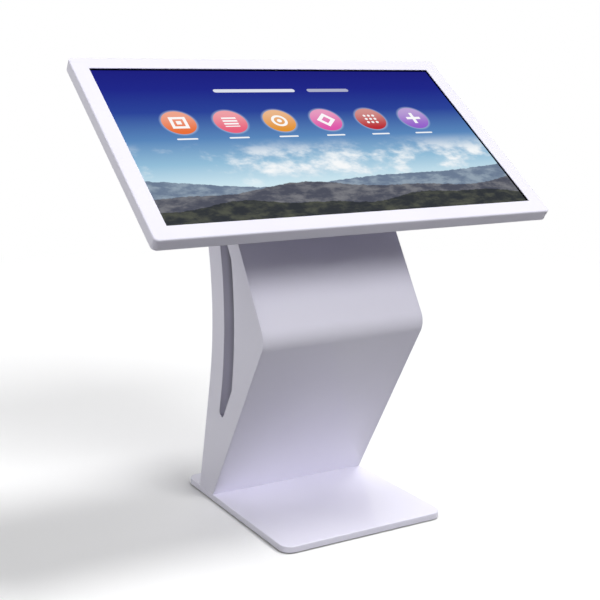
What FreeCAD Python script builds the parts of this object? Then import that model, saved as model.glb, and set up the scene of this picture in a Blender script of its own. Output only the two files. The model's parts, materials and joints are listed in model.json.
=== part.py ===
import FreeCAD, Part
import math
import os
import re

import Sketcher
from FreeCAD import Vector

# A free-standing touchscreen kiosk: a tilted display head on a folded, K-shaped steel stand.
# The origin is on the floor under the middle of the whole kiosk; the user stands on the -Y side.

doc = FreeCAD.newDocument("TouchKiosk")

# ---------------------------------------------------------------- driving sizes, in mm and degrees
driving = {
    # picture and head, measured along the tilted screen and square to it
    "screenWide": 941.2,
    "screenTall": 529.4,
    "marginSide": 39.4,
    "marginEnd": 40.3,
    "headTilt": 36,
    "headFrontY": -270,
    "headFrontZ": 727,
    "frameDepth": 28,
    "frameWall": 2.5,
    "frameLip": 2,
    "frameCorner": 12,
    "frameEdge": 4,
    "trayDepth": 32,
    "trayInset": 72,
    "trayCorner": 34,
    "trayWall": 2,
    "trayLip": 3,
    "gasketThick": 0.8,
    "gasketWide": 12,
    "glassThick": 4,
    "glassOverlap": 18,
    "panelThick": 11,
    "panelBorder": 11,
    "railThick": 3,
    "railWide": 40,
    "railPlace": 240,
    "screwRadius": 2,
    "screwHead": 4.5,
    "screwHeadTall": 2.4,
    "trayScrewInset": 105,
    "bracketRim": 25,
    "bracketThick": 5,
    "bracketPlace": 330,
    "boltRadius": 4,
    "boltSpreadWide": 240,
    "boltSpreadTall": 200,
    "boltHead": 6.5,
    "boltHeadTall": 5,
    "boltPast": 8,
    "spacerRadius": 11,
    "spacerTall": 6,
    "grommetPlace": 168,
    "grommetAlong": 380,
    "grommetHole": 18,
    "grommetWall": 3,
    "slotLong": 110,
    "slotWide": 4,
    "slotPitch": 12,
    "slotCount": 8,
    "slotPlace": 320,
    "slotAlong": 400,
    # boards behind the display
    "boardThick": 1.6,
    "boardStand": 8,
    "driverWide": 150,
    "driverTall": 120,
    "driverPlace": 328,
    "driverAlong": 330,
    "touchWide": 90,
    "touchTall": 55,
    "touchPlace": -320,
    "touchAlong": 330,
    # the folded stand, drawn in side view
    "columnWide": 434,
    "plateThick": 3,
    "sheetThick": 2,
    "wedgeFrontY": -112,
    "wedgeBottomZ": 732,
    "wedgeInnerY": -8,
    "wedgeFlange": 22,
    "bendY": -172,
    "bendZ": 466,
    "bendRadius": 45,
    "frontFootY": 110,
    "spineFootY": 188,
    "spineMidY": 80,
    "spineMidZ": 470,
    "spineRadius": 800,
    "spineTopY": 176,
    "plateEdge": 1.2,
    "seamLand": 27,
    "seamSlot": 5,
    "topPlateThick": 4,
    # window in each side plate, and the liner that closes it
    "stripFrontUpper": 52,
    "stripFrontLower": 62,
    "stripRear": 66,
    "windowNose": 24,
    "windowEnd": 12,
    "linerLap": 10,
    "linerWall": 1.5,
    "grooveWide": 26,
    "grooveDepth": 33,
    "rollRadius": 26,
    # square vent holes in the side plates
    "ventHole": 6.5,
    "ventPitch": 12.8,
    "ventFrontY": -24,
    "ventLift": 17.5,
    "ventMargin": 14,
    "meshThick": 0.8,
    "meshEdge": 1.5,
    "capRadius": 10,
    "capShank": 7,
    "capThick": 1.5,
    "capMidZ": 921,
    "capInset": 29,
    # column frame
    "tubeSide": 20,
    "tubeWall": 1.5,
    "barThick": 5,
    "barGap": 2,
    "soleThick": 6,
    "soleMargin": 6,
    # service door in the rear panel
    "doorMidZ": 800,
    "doorWide": 300,
    "doorTall": 230,
    "doorGap": 1.5,
    "doorFold": 8,
    "stopLip": 8,
    "hingeInset": 45,
    "hingeTall": 50,
    "leafWide": 22,
    "leafThick": 1.5,
    "knuckleRadius": 4,
    "knuckleLift": 4.5,
    "knuckleClear": 5,
    "hingePin": 1.5,
    "lockInset": 32,
    "lockRadius": 9,
    "lockFlange": 12,
    "plugRadius": 6,
    "camLong": 30,
    "camWide": 12,
    "camThick": 2.5,
    "camTail": 3.5,
    "barrelPast": 2.5,
    "lockFlangeThick": 2.5,
    "lockNut": 4,
    "keyWide": 1.6,
    "keyTall": 7,
    "keyDeep": 7.5,
    "runningGap": 0.06,
    "fitGap": 0.3,
    # mains inlet with its rocker switch
    "inletMidZ": 78,
    "inletWide": 44,
    "inletTall": 56,
    "inletDeep": 30,
    "inletFlange": 3,
    "inletFlangeThick": 2.5,
    "rockerHalf": 8.6,
    "rockerWide": 15,
    "rockerTilt": 8,
    "rockerPlace": 15,
    "rockerRoom": 10,
    "rockerDeep": 14,
    "rockerTop": 5.6,
    "rockerDish": 1.2,
    "rockerFoot": 4.5,
    "axlePast": 3,
    "socketWide": 25,
    "socketTall": 17,
    "socketDeep": 18,
    "socketPlace": -13.5,
    "pinWide": 2,
    "pinTall": 4,
    "pinSpread": 7,
    "pinRise": 2,
    "pinSunk": 5,
    "intakeRows": 6,
    # equipment
    "shelfLift": 4,
    "shelfDeep": 173,
    "shelfClear": 5,
    "shelfFlange": 5,
    "computerWide": 190,
    "computerDeep": 130,
    "computerTall": 38,
    "computerFoot": 3,
    "caseSlot": 3,
    "caseSlotPitch": 10,
    "powerShelfLift": 6,
    "powerShelfInset": 22,
    "powerShelfPast": 8,
    "powerShelfWide": 340,
    "riserPlace": 140,
    "supplyWide": 150,
    "supplyDeep": 110,
    "supplyTall": 44,
    "speakerSide": 66,
    "speakerDeep": 30,
    "speakerReach": 42,
    "speakerLift": 54,
    "fanSide": 40,
    "fanDeep": 15,
    "fanMidZ": 837,
    "fanInset": 68,
    "fanBore": 18.5,
    "fanHub": 8,
    "fanShaft": 1.5,
    "fanArm": 1.5,
    "bladeCount": 7,
    "bladeThick": 1.2,
    "bladeChord": 10,
    "guardRadius": 18,
    "guardBar": 2.4,
    # base
    "footTall": 3,
    "footRadius": 18,
    "footInset": 45,
    "baseTall": 15,
    "baseWall": 2.5,
    "baseCorner": 28,
    "baseEdge": 2.5,
    "baseFrontY": -262,
    "ballastThick": 6,
    "cableRadius": 2.5,
}
worked = []

sizes = doc.addObject("Spreadsheet::Sheet", "Sizes")
for row, (alias, value) in enumerate(driving.items(), 1):
    sizes.set(f"A{row}", alias)
    sizes.set(f"B{row}", str(value))
    sizes.setAlias(f"B{row}", alias)
places = doc.addObject("Spreadsheet::Sheet", "Places")


def full(text, own="Places."):
    """Puts the sheet's name before each alias in a formula."""

    def named(word):
        if word[0] in driving:
            return "Sizes." + word[0]
        return own + word[0] if word[0] in worked else word[0]

    return re.sub(r"[A-Za-z]\w*", named, str(text))


def place(alias, formula):
    """Adds a worked-out size or position to the Places sheet."""
    row = len(worked) + 1
    places.set(f"A{row}", alias)
    places.set(f"B{row}", "=" + full(formula, own=""))
    places.setAlias(f"B{row}", alias)
    worked.append(alias)


def value(text):
    """The present value of a formula, as a plain number or a placement."""
    found = places.evalExpression(full(text))
    return getattr(found, "Value", found)


# ---------------------------------------------------------------- worked-out places
place("tiltSin", "sin(headTilt)")
place("tiltCos", "cos(headTilt)")
place("headHalf", "screenWide / 2 + marginSide")
place("headTall", "screenTall + 2 * marginEnd")
place("headBack", "frameDepth + trayDepth")
place("columnHalf", "columnWide / 2")
place("columnInner", "columnHalf - plateThick")
place("sheetHalf", "columnInner - fitGap")
place("baseTop", "footTall + baseTall")
# the rounded lower edge of the head is the front of the kiosk; the base reaches as far back
place("headNoseY", "headFrontY + frameEdge * (tiltCos + tiltSin - 1)")
place("baseRearY", "-headNoseY")
place("glassBack", "frameLip + gasketThick + glassThick")
place("panelBack", "glassBack + panelThick")
place("railBack", "panelBack + railThick")
place("trayInner", "headBack - trayWall")
place("trayShift", "trayWall * sqrt(trayInset ^ 2 + trayDepth ^ 2) / trayDepth")


def line(alias, along, rise):
    """A straight edge of the side view, y = aliasA + aliasK * z."""
    place(alias + "K", rise)
    place(alias + "A", along)


def shifted(edge, inward):
    """Where an edge moved square to itself, towards +Y, meets z = 0."""
    return f"({edge}A + ({inward}) * sqrt(1 + {edge}K ^ 2))"


def at_level(edge, inward, level):
    return f"{shifted(edge, inward)} + {edge}K * ({level})"


def cross(alias, first, first_in, second, second_in):
    """The corner where two edges meet, each moved square to itself towards +Y."""
    gap = f"({shifted(second, second_in)} - {shifted(first, first_in)})"
    place(alias + "Z", f"{gap} / ({first}K - {second}K)")
    place(alias + "Y", f"{shifted(first, first_in)} + {first}K * {alias}Z")
    return (alias + "Y", alias + "Z")


def seam_height(y):
    """Height of the housing's flat back, on which the stand ends, at a place y."""
    return f"(headFrontZ + (({y}) - headFrontY) * tiltSin / tiltCos - headBack / tiltCos)"


place("spineTopZ", seam_height("spineTopY"))
place("wedgeFrontZ", seam_height("wedgeFrontY"))
line("seam", "headFrontY + (headBack / tiltCos - headFrontZ) * tiltCos / tiltSin", "tiltCos / tiltSin")
place("frontUpperK", "(wedgeInnerY - bendY) / (wedgeBottomZ - bendZ)")
place("frontUpperA", "bendY - frontUpperK * bendZ")
place("frontLowerK", "(frontFootY - bendY) / (baseTop - bendZ)")
place("frontLowerA", "bendY - frontLowerK * bendZ")
place("spineUpperK", "(spineTopY - spineMidY) / (spineTopZ - spineMidZ)")
place("spineUpperA", "spineMidY - spineUpperK * spineMidZ")
place("spineLowerK", "(spineFootY - spineMidY) / (baseTop - spineMidZ)")
place("spineLowerA", "spineMidY - spineLowerK * spineMidZ")
# window corners, and the same corners moved out by the liner's lap
window_corners = {}
for ring, lap in (("window", "0"), ("liner", "linerLap"), ("linerRim", "(linerLap - linerWall)")):
    upper, lower, rear = (
        f"stripFrontUpper - {lap}",
        f"stripFrontLower - {lap}",
        f"{lap} - stripRear",
    )
    window_corners[ring] = [
        cross(ring + "Nose", "frontUpper", upper, "frontLower", lower),
        cross(ring + "Low", "frontLower", lower, "spineLower", rear),
        cross(ring + "Back", "spineUpper", rear, "spineLower", rear),
        cross(ring + "High", "frontUpper", upper, "spineUpper", rear),
    ]
cross("frontBend", "frontUpper", "sheetThick", "frontLower", "sheetThick")
cross("rearBend", "spineUpper", "-sheetThick", "spineLower", "-sheetThick")
cross("rearTop", "seam", "fitGap", "spineUpper", "0")
cross("rearTopInner", "seam", "fitGap", "spineUpper", "-sheetThick")
cross("meshHigh", "seam", "ventMargin * tiltCos", "spineUpper", "ventHole / 2 + meshEdge - ventMargin")
cross("topPlateRear", "seam", "spacerTall + topPlateThick", "spineUpper", "-sheetThick - fitGap")
place(
    "topPlateStart",
    "(wedgeFrontY + sheetThick + fitGap - headFrontY - (headBack + spacerTall) * tiltSin) / tiltCos",
)
place(
    "topPlateEnd",
    "(topPlateRearY - headFrontY - (headBack + spacerTall + topPlateThick) * tiltSin) / tiltCos",
)
place("doorY", at_level("spineUpper", "0", "doorMidZ"))
place("inletY", at_level("spineLower", "0", "inletMidZ"))
place("bracketWide", "boltSpreadWide + 2 * bracketRim")
place("bracketTall", "boltSpreadTall + 2 * bracketRim")
place("linerReach", "1.3 * (windowBackY - windowNoseY)")
place("ventBottomZ", "wedgeBottomZ + ventLift")
place("capMidY", at_level("spineUpper", "-capInset", "capMidZ"))
place("lockPlace", "doorWide / 2 - lockInset")
place("hingeHalf", "doorTall / 2 - hingeInset")
place("shelfTopZ", "wedgeBottomZ + sheetThick + shelfLift")
place("shelfFrontY", "wedgeFrontY + sheetThick + tubeSide + shelfClear")
place("shelfRearY", "shelfFrontY + shelfDeep")
place("computerMidY", "shelfRearY - shelfClear - computerDeep / 2")
place("computerLow", "shelfTopZ + computerFoot")
place("powerShelfZ", "bendZ + powerShelfLift")
place("powerShelfFrontY", "bendY + powerShelfInset")
place("powerShelfRearY", "spineMidY + powerShelfPast")
place("supplyMidY", "(powerShelfFrontY + powerShelfRearY) / 2")
place("speakerMidY", "ventFrontY + speakerReach")
place("speakerMidZ", "wedgeBottomZ + speakerLift")
place("fanMidY", at_level("spineUpper", "-fanInset", "fanMidZ"))
place("rockerPivot", "inletFlangeThick - 0.5")
place("intakeTop", "inletTall + intakeRows * slotPitch")
doc.recompute()


# ---------------------------------------------------------------- frames
def frame(x, y, z, turn):
    """A local frame: its origin, and its turn about the X axis."""
    return f"placement(vector({x}; {y}; {z}); rotation(vector(1; 0; 0); {turn}))"


head = frame("0", "headFrontY", "headFrontZ", "headTilt")
door = frame("0", "doorY", "doorMidZ", "-atan(spineUpperK)")
inlet = frame("0", "inletY", "inletMidZ", "-atan(spineLowerK)")
turns = {
    "z": "rotation(vector(0; 0; 1); 0)",
    "x": "rotation(vector(0; 1; 0); 90)",
    "y": "rotation(vector(1; 0; 0); -90)",
}


# ---------------------------------------------------------------- building helpers
def bind(item, prop, formula):
    item.setExpression(prop, full(formula))


def body(label, where=None):
    made = doc.addObject("PartDesign::Body", label)
    made.Label = label
    if where:
        bind(made, "Placement", where)
    return made


def sketch(owner, plane, lift="0"):
    """An empty sketch on one of the body's own origin planes, lifted along its normal."""
    made = owner.newObject("Sketcher::SketchObject", "Sketch")
    support = next(o for o in owner.Origin.OriginFeatures if o.Role == plane)
    made.AttachmentSupport = [(support, "")]
    made.MapMode = "FlatFace"
    bind(made, "AttachmentOffset.Base.z", lift)
    return made


def hold(drawn, geometry, point, x, y):
    """Ties one point of a sketch to its formulas, measured from the sketch's origin."""
    for axis, formula in (("DistanceX", x), ("DistanceY", y)):
        made = drawn.addConstraint(Sketcher.Constraint(axis, -1, 1, geometry, point, value(formula)))
        drawn.renameConstraint(made, f"{axis}{geometry}")
        bind(drawn, f"Constraints.{axis}{geometry}", formula)


def polygon(drawn, corners):
    """A closed outline whose corners are tied to formulas."""
    first = drawn.GeometryCount
    points = [Vector(value(x), value(y), 0) for x, y in corners]
    count = len(points)
    for i, point in enumerate(points):
        drawn.addGeometry(Part.LineSegment(point, points[(i + 1) % count]), False)
    for i in range(count):
        drawn.addConstraint(Sketcher.Constraint("Coincident", first + i, 2, first + (i + 1) % count, 1))
    for i, (x, y) in enumerate(corners):
        hold(drawn, first + i, 1, x, y)
    return drawn


def rectangle(drawn, left, bottom, right, top):
    return polygon(drawn, [(left, bottom), (right, bottom), (right, top), (left, top)])


def circle(drawn, x, y, radius):
    centre = Vector(value(x), value(y), 0)
    made = drawn.addGeometry(Part.Circle(centre, Vector(0, 0, 1), value(radius)), False)
    hold(drawn, made, 3, x, y)
    size = drawn.addConstraint(Sketcher.Constraint("Radius", made, value(radius)))
    drawn.renameConstraint(size, f"Radius{made}")
    bind(drawn, f"Constraints.Radius{made}", radius)
    return drawn


def feature(owner, kind, drawn, length, reverse, middle):
    made = owner.newObject("PartDesign::" + kind, kind)
    made.Profile = drawn
    made.Reversed = reverse
    made.SideType = "Symmetric" if middle else "One side"
    bind(made, "Length", length)
    doc.recompute()
    return made


def pad(owner, drawn, length, reverse=False, middle=False):
    return feature(owner, "Pad", drawn, length, reverse, middle)


def pocket(owner, drawn, length, reverse=False, middle=False):
    """Cuts a profile out and makes sure that it met the solid."""
    before = owner.Shape.Volume
    made = feature(owner, "Pocket", drawn, length, reverse, middle)
    if made.Shape.Volume > before - 1e-3:
        raise RuntimeError(owner.Label + ": a pocket cuts nothing")
    return made


def round_edges(owner, radius, test):
    """Rounds the edges of the body's newest feature that pass the test."""
    base = owner.Tip
    chosen = [f"Edge{i}" for i, edge in enumerate(base.Shape.Edges, 1) if test(edge)]
    if not chosen:
        raise RuntimeError(owner.Label + ": no edge to round")
    made = owner.newObject("PartDesign::Fillet", "Fillet")
    made.Base = (base, chosen)
    bind(made, "Radius", radius)
    doc.recompute()
    return made


def corner_line(corner):
    """Picks the edge that runs across the kiosk through one corner of the side view."""
    y, z = value(corner[0]), value(corner[1])

    def test(edge):
        box = edge.BoundBox
        level = box.YLength < 1e-4 and box.ZLength < 1e-4
        return level and abs(box.Center.y - y) < 0.01 and abs(box.Center.z - z) < 0.01

    return test


def standing(edge):
    return edge.BoundBox.XLength < 1e-4 and edge.BoundBox.YLength < 1e-4


def box(label, x, y, z, where=None):
    """A block between two formulas on each axis of its frame."""
    made = doc.addObject("Part::Box", label)
    made.Label = label
    for prop, (low, high) in (("Length", x), ("Width", y), ("Height", z)):
        bind(made, prop, f"({high}) - ({low})")
    own = f"placement(vector({x[0]}; {y[0]}; {z[0]}); {turns['z']})"
    bind(made, "Placement", f"{where} * {own}" if where else own)
    return made


def rod(label, radius, start, length, along, where=None):
    """A cylinder from a start point along one axis of its frame."""
    made = doc.addObject("Part::Cylinder", label)
    made.Label = label
    bind(made, "Radius", radius)
    bind(made, "Height", length)
    own = f"placement(vector({start[0]}; {start[1]}; {start[2]}); {turns[along]})"
    bind(made, "Placement", f"{where} * {own}" if where else own)
    return made


def union(label, pieces):
    made = doc.addObject("Part::MultiFuse", label)
    made.Label = label
    made.Shapes = pieces
    return made


def group(label, pieces):
    """Separate solids kept in one piece of the list, such as a set of bolts."""
    made = doc.addObject("Part::Compound", label)
    made.Label = label
    made.Links = pieces
    return made


def minus(label, base, tools):
    made = doc.addObject("Part::Cut", label)
    made.Label = label
    made.Base = base
    made.Tool = tools[0] if len(tools) == 1 else group(label + "_tools", tools)
    return made


def common(label, first, second):
    made = doc.addObject("Part::Common", label)
    made.Label = label
    made.Base = first
    made.Tool = second
    return made


def loose(label, shape):
    """A shape made by Part's own functions from sizes read off the sheet."""
    made = doc.addObject("Part::Feature", label)
    made.Label = label
    made.Shape = shape
    return made


nodes = []


def node(item):
    nodes.append(item)
    return item


# ---------------------------------------------------------------- head: frame, glass and display
def upright_at(inset):
    """Picks the upright edges at the corners of a rectangle drawn in from the head's outline."""
    wide, low, high = value(f"headHalf - ({inset})"), value(inset), value(f"headTall - ({inset})")

    def test(edge):
        middle = edge.BoundBox.Center
        at_end = abs(middle.y - low) < 0.01 or abs(middle.y - high) < 0.01
        return standing(edge) and at_end and abs(abs(middle.x) - wide) < 0.01

    return test


def bezel_frame():
    """White front frame: flat margin round the picture, rounded front edge, 28 mm deep sides."""
    made = node(body("bezel_frame", head))
    outline = rectangle(sketch(made, "XY_Plane"), "-headHalf", "0", "headHalf", "headTall")
    pad(made, outline, "frameDepth", reverse=True)
    inside = sketch(made, "XY_Plane", "-frameDepth")
    rectangle(inside, "frameWall - headHalf", "frameWall", "headHalf - frameWall", "headTall - frameWall")
    pocket(made, inside, "frameDepth - frameLip", reverse=True)
    round_edges(made, "frameCorner - frameWall", upright_at("frameWall"))
    round_edges(made, "frameCorner", upright_at("0"))
    round_edges(made, "frameEdge", lambda edge: edge.BoundBox.ZMin > -1e-4)
    window = sketch(made, "XY_Plane")
    rectangle(window, "-screenWide / 2", "marginEnd", "screenWide / 2", "headTall - marginEnd")
    pocket(made, window, "frameDepth")
    wide, low, high = value("screenWide / 2"), value("marginEnd"), value("headTall - marginEnd")

    def at_window(edge):
        middle = edge.BoundBox.Center
        beside = abs(abs(middle.x) - wide) < 0.01 or abs(middle.y - low) < 0.01 or abs(middle.y - high) < 0.01
        return beside and edge.BoundBox.ZMin > -1e-4

    round_edges(made, "frameLip / 2", at_window)


def frame_ring(label, outer, inner, top, bottom):
    """A flat ring round the picture; outer and inner count outwards from the picture's edge."""
    made = node(body(label, head))
    edges = []
    for out in (outer, inner):
        wide = f"(screenWide / 2 + {out})"
        edges.append((f"-{wide}", f"marginEnd - ({out})", wide, f"headTall - marginEnd + ({out})"))
    drawn = sketch(made, "XY_Plane", f"-({top})")
    rectangle(drawn, *edges[0])
    rectangle(drawn, *edges[1])
    pad(made, drawn, f"({bottom}) - ({top})", reverse=True)


def head_slab(label, out, top, bottom):
    """A flat plate centred on the picture and a border wider than it all round."""
    made = node(body(label, head))
    drawn = sketch(made, "XY_Plane", f"-({top})")
    wide = f"(screenWide / 2 + {out})"
    rectangle(drawn, f"-{wide}", f"marginEnd - ({out})", wide, f"headTall - marginEnd + ({out})")
    pad(made, drawn, f"({bottom}) - ({top})", reverse=True)
    return made


bezel_frame()
frame_ring("glass_gasket", "glassOverlap", "glassOverlap - gasketWide", "frameLip", "frameLip + gasketThick")
head_slab("touch_glass", "glassOverlap", "frameLip + gasketThick", "glassBack")
head_slab("lcd_panel", "panelBorder", "glassBack", "panelBack")
screw_rows = ("trayScrewInset", "headTall / 2", "headTall - trayScrewInset")
for side, sign in (("left", "-"), ("right", "")):
    middle = f"({sign}railPlace)"
    rail = box(
        f"panel_rail_{side}_bar",
        (f"{middle} - railWide / 2", f"{middle} + railWide / 2"),
        ("frameWall", "headTall - frameWall"),
        ("-railBack", "-panelBack"),
        head,
    )
    taps = [
        rod("tap", "screwRadius", (middle, row, "-railBack"), "railThick", "z", head) for row in screw_rows
    ]
    node(minus(f"panel_rail_{side}", rail, taps))


# ---------------------------------------------------------------- head: rear housing and its mounting
def rear_tray():
    """Rear housing: a shallow pan whose four sides slope in to a flat back."""
    made = node(body("rear_tray", head))

    def level(inset, depth):
        drawn = sketch(made, "XY_Plane", f"-({depth})")
        wide = f"(headHalf - ({inset}))"
        return rectangle(drawn, f"-{wide}", inset, wide, f"headTall - ({inset})")

    outer = made.newObject("PartDesign::AdditiveLoft", "Outside")
    outer.Profile = level("0", "frameDepth")
    outer.Sections = [level("trayInset", "headBack")]
    outer.Ruled = True
    doc.recompute()
    back = "(trayInset * (trayDepth - trayWall) / trayDepth + trayShift)"
    hollow = made.newObject("PartDesign::SubtractiveLoft", "Inside")
    hollow.Profile = level("trayShift", "frameDepth")
    hollow.Sections = [level(back, "trayInner")]
    hollow.Ruled = True
    doc.recompute()

    def sloping_at(inset):
        def test(edge):
            rim = max((vertex.Point for vertex in edge.Vertexes), key=lambda point: point.z)
            across, along = value("headHalf") - abs(rim.x), min(rim.y, value("headTall") - rim.y)
            return edge.BoundBox.ZLength > 10 and abs(across - inset) < 0.01 and abs(along - inset) < 0.01

        return test

    round_edges(made, "trayCorner - trayWall", sloping_at(value("trayShift")))
    lip = sketch(made, "XY_Plane", "-frameDepth")
    insets = ("(frameWall + fitGap)", "(frameWall + fitGap + trayLip)")
    for inset in insets:
        wide = f"(headHalf - {inset})"
        rectangle(lip, f"-{wide}", inset, wide, f"headTall - {inset}")
    pad(made, lip, "trayLip")
    for inset in insets:
        round_edges(made, f"frameCorner - {inset}", upright_at(inset))
    round_edges(made, "trayCorner", sloping_at(0))
    holes = sketch(made, "XY_Plane", "-headBack")
    for x in ("-boltSpreadWide / 2", "boltSpreadWide / 2"):
        for y in ("bracketPlace - boltSpreadTall / 2", "bracketPlace + boltSpreadTall / 2"):
            circle(holes, x, y, "boltRadius + fitGap")
    for x in ("-railPlace", "railPlace"):
        for y in screw_rows:
            circle(holes, x, y, "screwRadius + fitGap")
    circle(holes, "grommetPlace", "grommetAlong", "grommetHole")
    pocket(made, holes, "trayWall", reverse=True)
    slot = sketch(made, "XY_Plane", "-headBack")
    for middle in ("-slotPlace", "slotPlace"):
        low, high = f"{middle} - slotLong / 2", f"{middle} + slotLong / 2"
        rectangle(slot, low, "slotAlong", high, "slotAlong + slotWide")
    cut = pocket(made, slot, "trayWall", reverse=True)
    repeat = made.newObject("PartDesign::LinearPattern", "VentSlots")
    repeat.Originals = [cut]
    repeat.Direction = (slot, ["V_Axis"])
    bind(repeat, "Length", "slotPitch * (slotCount - 1)")
    bind(repeat, "Occurrences", "slotCount")
    made.Tip = repeat
    doc.recompute()


def ring(label, outer, inner, x, y, top, bottom, where):
    """A round sleeve whose axis is square to the screen."""
    start = (x, y, f"-({bottom})")
    tall = f"({bottom}) - ({top})"
    shell = rod(label + "_outside", outer, start, tall, "z", where)
    return minus(label, shell, [rod(label + "_bore", inner, start, tall, "z", where)])


rear_tray()
standoffs, screws = [], []
for x in ("-railPlace", "railPlace"):
    for y in screw_rows:
        standoffs.append(ring("standoff", "screwHead", "screwRadius", x, y, "railBack", "trayInner", head))
        shank = rod("shank", "screwRadius - fitGap", (x, y, "-headBack"), "headBack - panelBack", "z", head)
        start = (x, y, "-headBack - screwHeadTall")
        button = rod("button", "screwHead", start, "screwHeadTall", "z", head)
        screws.append(union("tray_screw", [shank, button]))
node(group("tray_standoffs", standoffs))
node(group("tray_screws", screws))

bolt_places = [
    (x, y)
    for x in ("-boltSpreadWide / 2", "boltSpreadWide / 2")
    for y in ("bracketPlace - boltSpreadTall / 2", "bracketPlace + boltSpreadTall / 2")
]
bracket_top = "trayInner - bracketThick"
plate_back = "headBack + spacerTall + topPlateThick"


def bolt_holes(top, bottom):
    tall = f"({bottom}) - ({top})"
    low, radius = f"-({bottom})", "boltRadius + fitGap"
    return [rod("bolt_hole", radius, (x, y, low), tall, "z", head) for x, y in bolt_places]


bracket = box(
    "bracket_plate",
    ("-bracketWide / 2", "bracketWide / 2"),
    ("bracketPlace - bracketTall / 2", "bracketPlace + bracketTall / 2"),
    ("-trayInner", f"-({bracket_top})"),
    head,
)
node(minus("head_bracket", bracket, bolt_holes(bracket_top, "trayInner")))
spacers = [
    ring("spacer", "spacerRadius", "boltRadius + fitGap", x, y, "headBack", "headBack + spacerTall", head)
    for x, y in bolt_places
]
node(group("head_spacers", spacers))
top_plate = box(
    "top_plate_blank",
    ("-columnInner", "columnInner"),
    ("topPlateStart", "topPlateEnd"),
    (f"-({plate_back})", "-(headBack + spacerTall)"),
    head,
)
start = ("grommetPlace", "grommetAlong", f"-({plate_back})")
cable_hole = rod("cable_hole", "grommetHole", start, "topPlateThick", "z", head)
node(minus("top_plate", top_plate, bolt_holes("headBack + spacerTall", plate_back) + [cable_hole]))
fixings = []
for x, y in bolt_places:
    start, long = (x, y, f"-({plate_back}) - boltPast"), f"{plate_back} + boltPast - ({bracket_top})"
    shank = rod("shank", "boltRadius", start, long, "z", head)
    cap = rod("cap", "boltHead", (x, y, f"-({bracket_top})"), "boltHeadTall", "z", head)
    fixings.append(union("head_bolt", [shank, cap]))
    nut_low = f"{plate_back} + boltHeadTall"
    fixings.append(ring("nut", "boltHead", "boltRadius", x, y, plate_back, nut_low, head))
node(group("head_fixings", fixings))

# the grommet lines the cable hole in the housing and in the top plate
lining = "(grommetHole - grommetWall)"
grommet_top, grommet_low = "trayInner - grommetWall", f"{plate_back} + grommetWall"
sleeve = ring(
    "grommet_sleeve",
    "grommetHole - fitGap",
    lining,
    "grommetPlace",
    "grommetAlong",
    grommet_top,
    grommet_low,
    head,
)
collars = [
    ring("collar", "grommetHole + grommetWall", lining, "grommetPlace", "grommetAlong", top, low, head)
    for top, low in ((grommet_top, "trayInner"), (plate_back, grommet_low))
]
node(union("cable_grommet", [sleeve] + collars))


def circuit_board(label, x, y, wide, tall, blocks):
    """A board on four standoffs, with its connectors and chips; blocks are shares of its area."""
    low = "trayInner - boardStand"
    panel = box(
        "board",
        (f"{x} - {wide} / 2", f"{x} + {wide} / 2"),
        (f"{y} - {tall} / 2", f"{y} + {tall} / 2"),
        (f"-({low})", f"boardThick - ({low})"),
        head,
    )
    parts = [panel]
    for left, bottom, right, top, height in blocks:
        parts.append(
            box(
                "chip",
                (f"{x} + {left} * {wide}", f"{x} + {right} * {wide}"),
                (f"{y} + {bottom} * {tall}", f"{y} + {top} * {tall}"),
                (f"boardThick - ({low})", f"boardThick + {height} - ({low})"),
                head,
            )
        )
    for side in ("-", "+"):
        for end in ("-", "+"):
            start = (f"{x} {side} {wide} * 0.44", f"{y} {end} {tall} * 0.42", "-trayInner")
            parts.append(rod("leg", "screwHead - 1", start, "boardStand", "z", head))
    node(union(label, parts))


circuit_board(
    "driver_board",
    "driverPlace",
    "driverAlong",
    "driverWide",
    "driverTall",
    [
        (-0.1, -0.2, 0.12, 0.15, 9),
        (-0.49, 0.3, -0.34, 0.5, 12),
        (0.2, -0.45, 0.45, -0.1, 14),
        (0.2, 0.1, 0.4, 0.4, 6),
    ],
)
circuit_board(
    "touch_controller",
    "touchPlace",
    "touchAlong",
    "touchWide",
    "touchTall",
    [(-0.12, -0.2, 0.12, 0.2, 2), (0.25, -0.4, 0.49, 0.1, 8)],
)


# ---------------------------------------------------------------- stand: side plates
slot_shift = ("seamSlot * tiltSin", "seamSlot * tiltCos")
land_shift = ("seamLand * tiltCos", "seamLand * tiltSin")
side_outline = [
    ("wedgeFrontY", "wedgeFrontZ"),
    ("wedgeFrontY", "wedgeBottomZ"),
    ("wedgeInnerY", "wedgeBottomZ"),
    ("bendY", "bendZ"),
    ("frontFootY", "baseTop"),
    ("spineFootY", "baseTop"),
    ("spineMidY", "spineMidZ"),
    ("spineTopY", "spineTopZ"),
    (f"spineTopY - {land_shift[0]}", f"spineTopZ - {land_shift[1]}"),
    (f"spineTopY - {land_shift[0]} + {slot_shift[0]}", f"spineTopZ - {land_shift[1]} - {slot_shift[1]}"),
    (f"wedgeFrontY + {land_shift[0]} + {slot_shift[0]}", f"wedgeFrontZ + {land_shift[1]} - {slot_shift[1]}"),
    (f"wedgeFrontY + {land_shift[0]}", f"wedgeFrontZ + {land_shift[1]}"),
]


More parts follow.
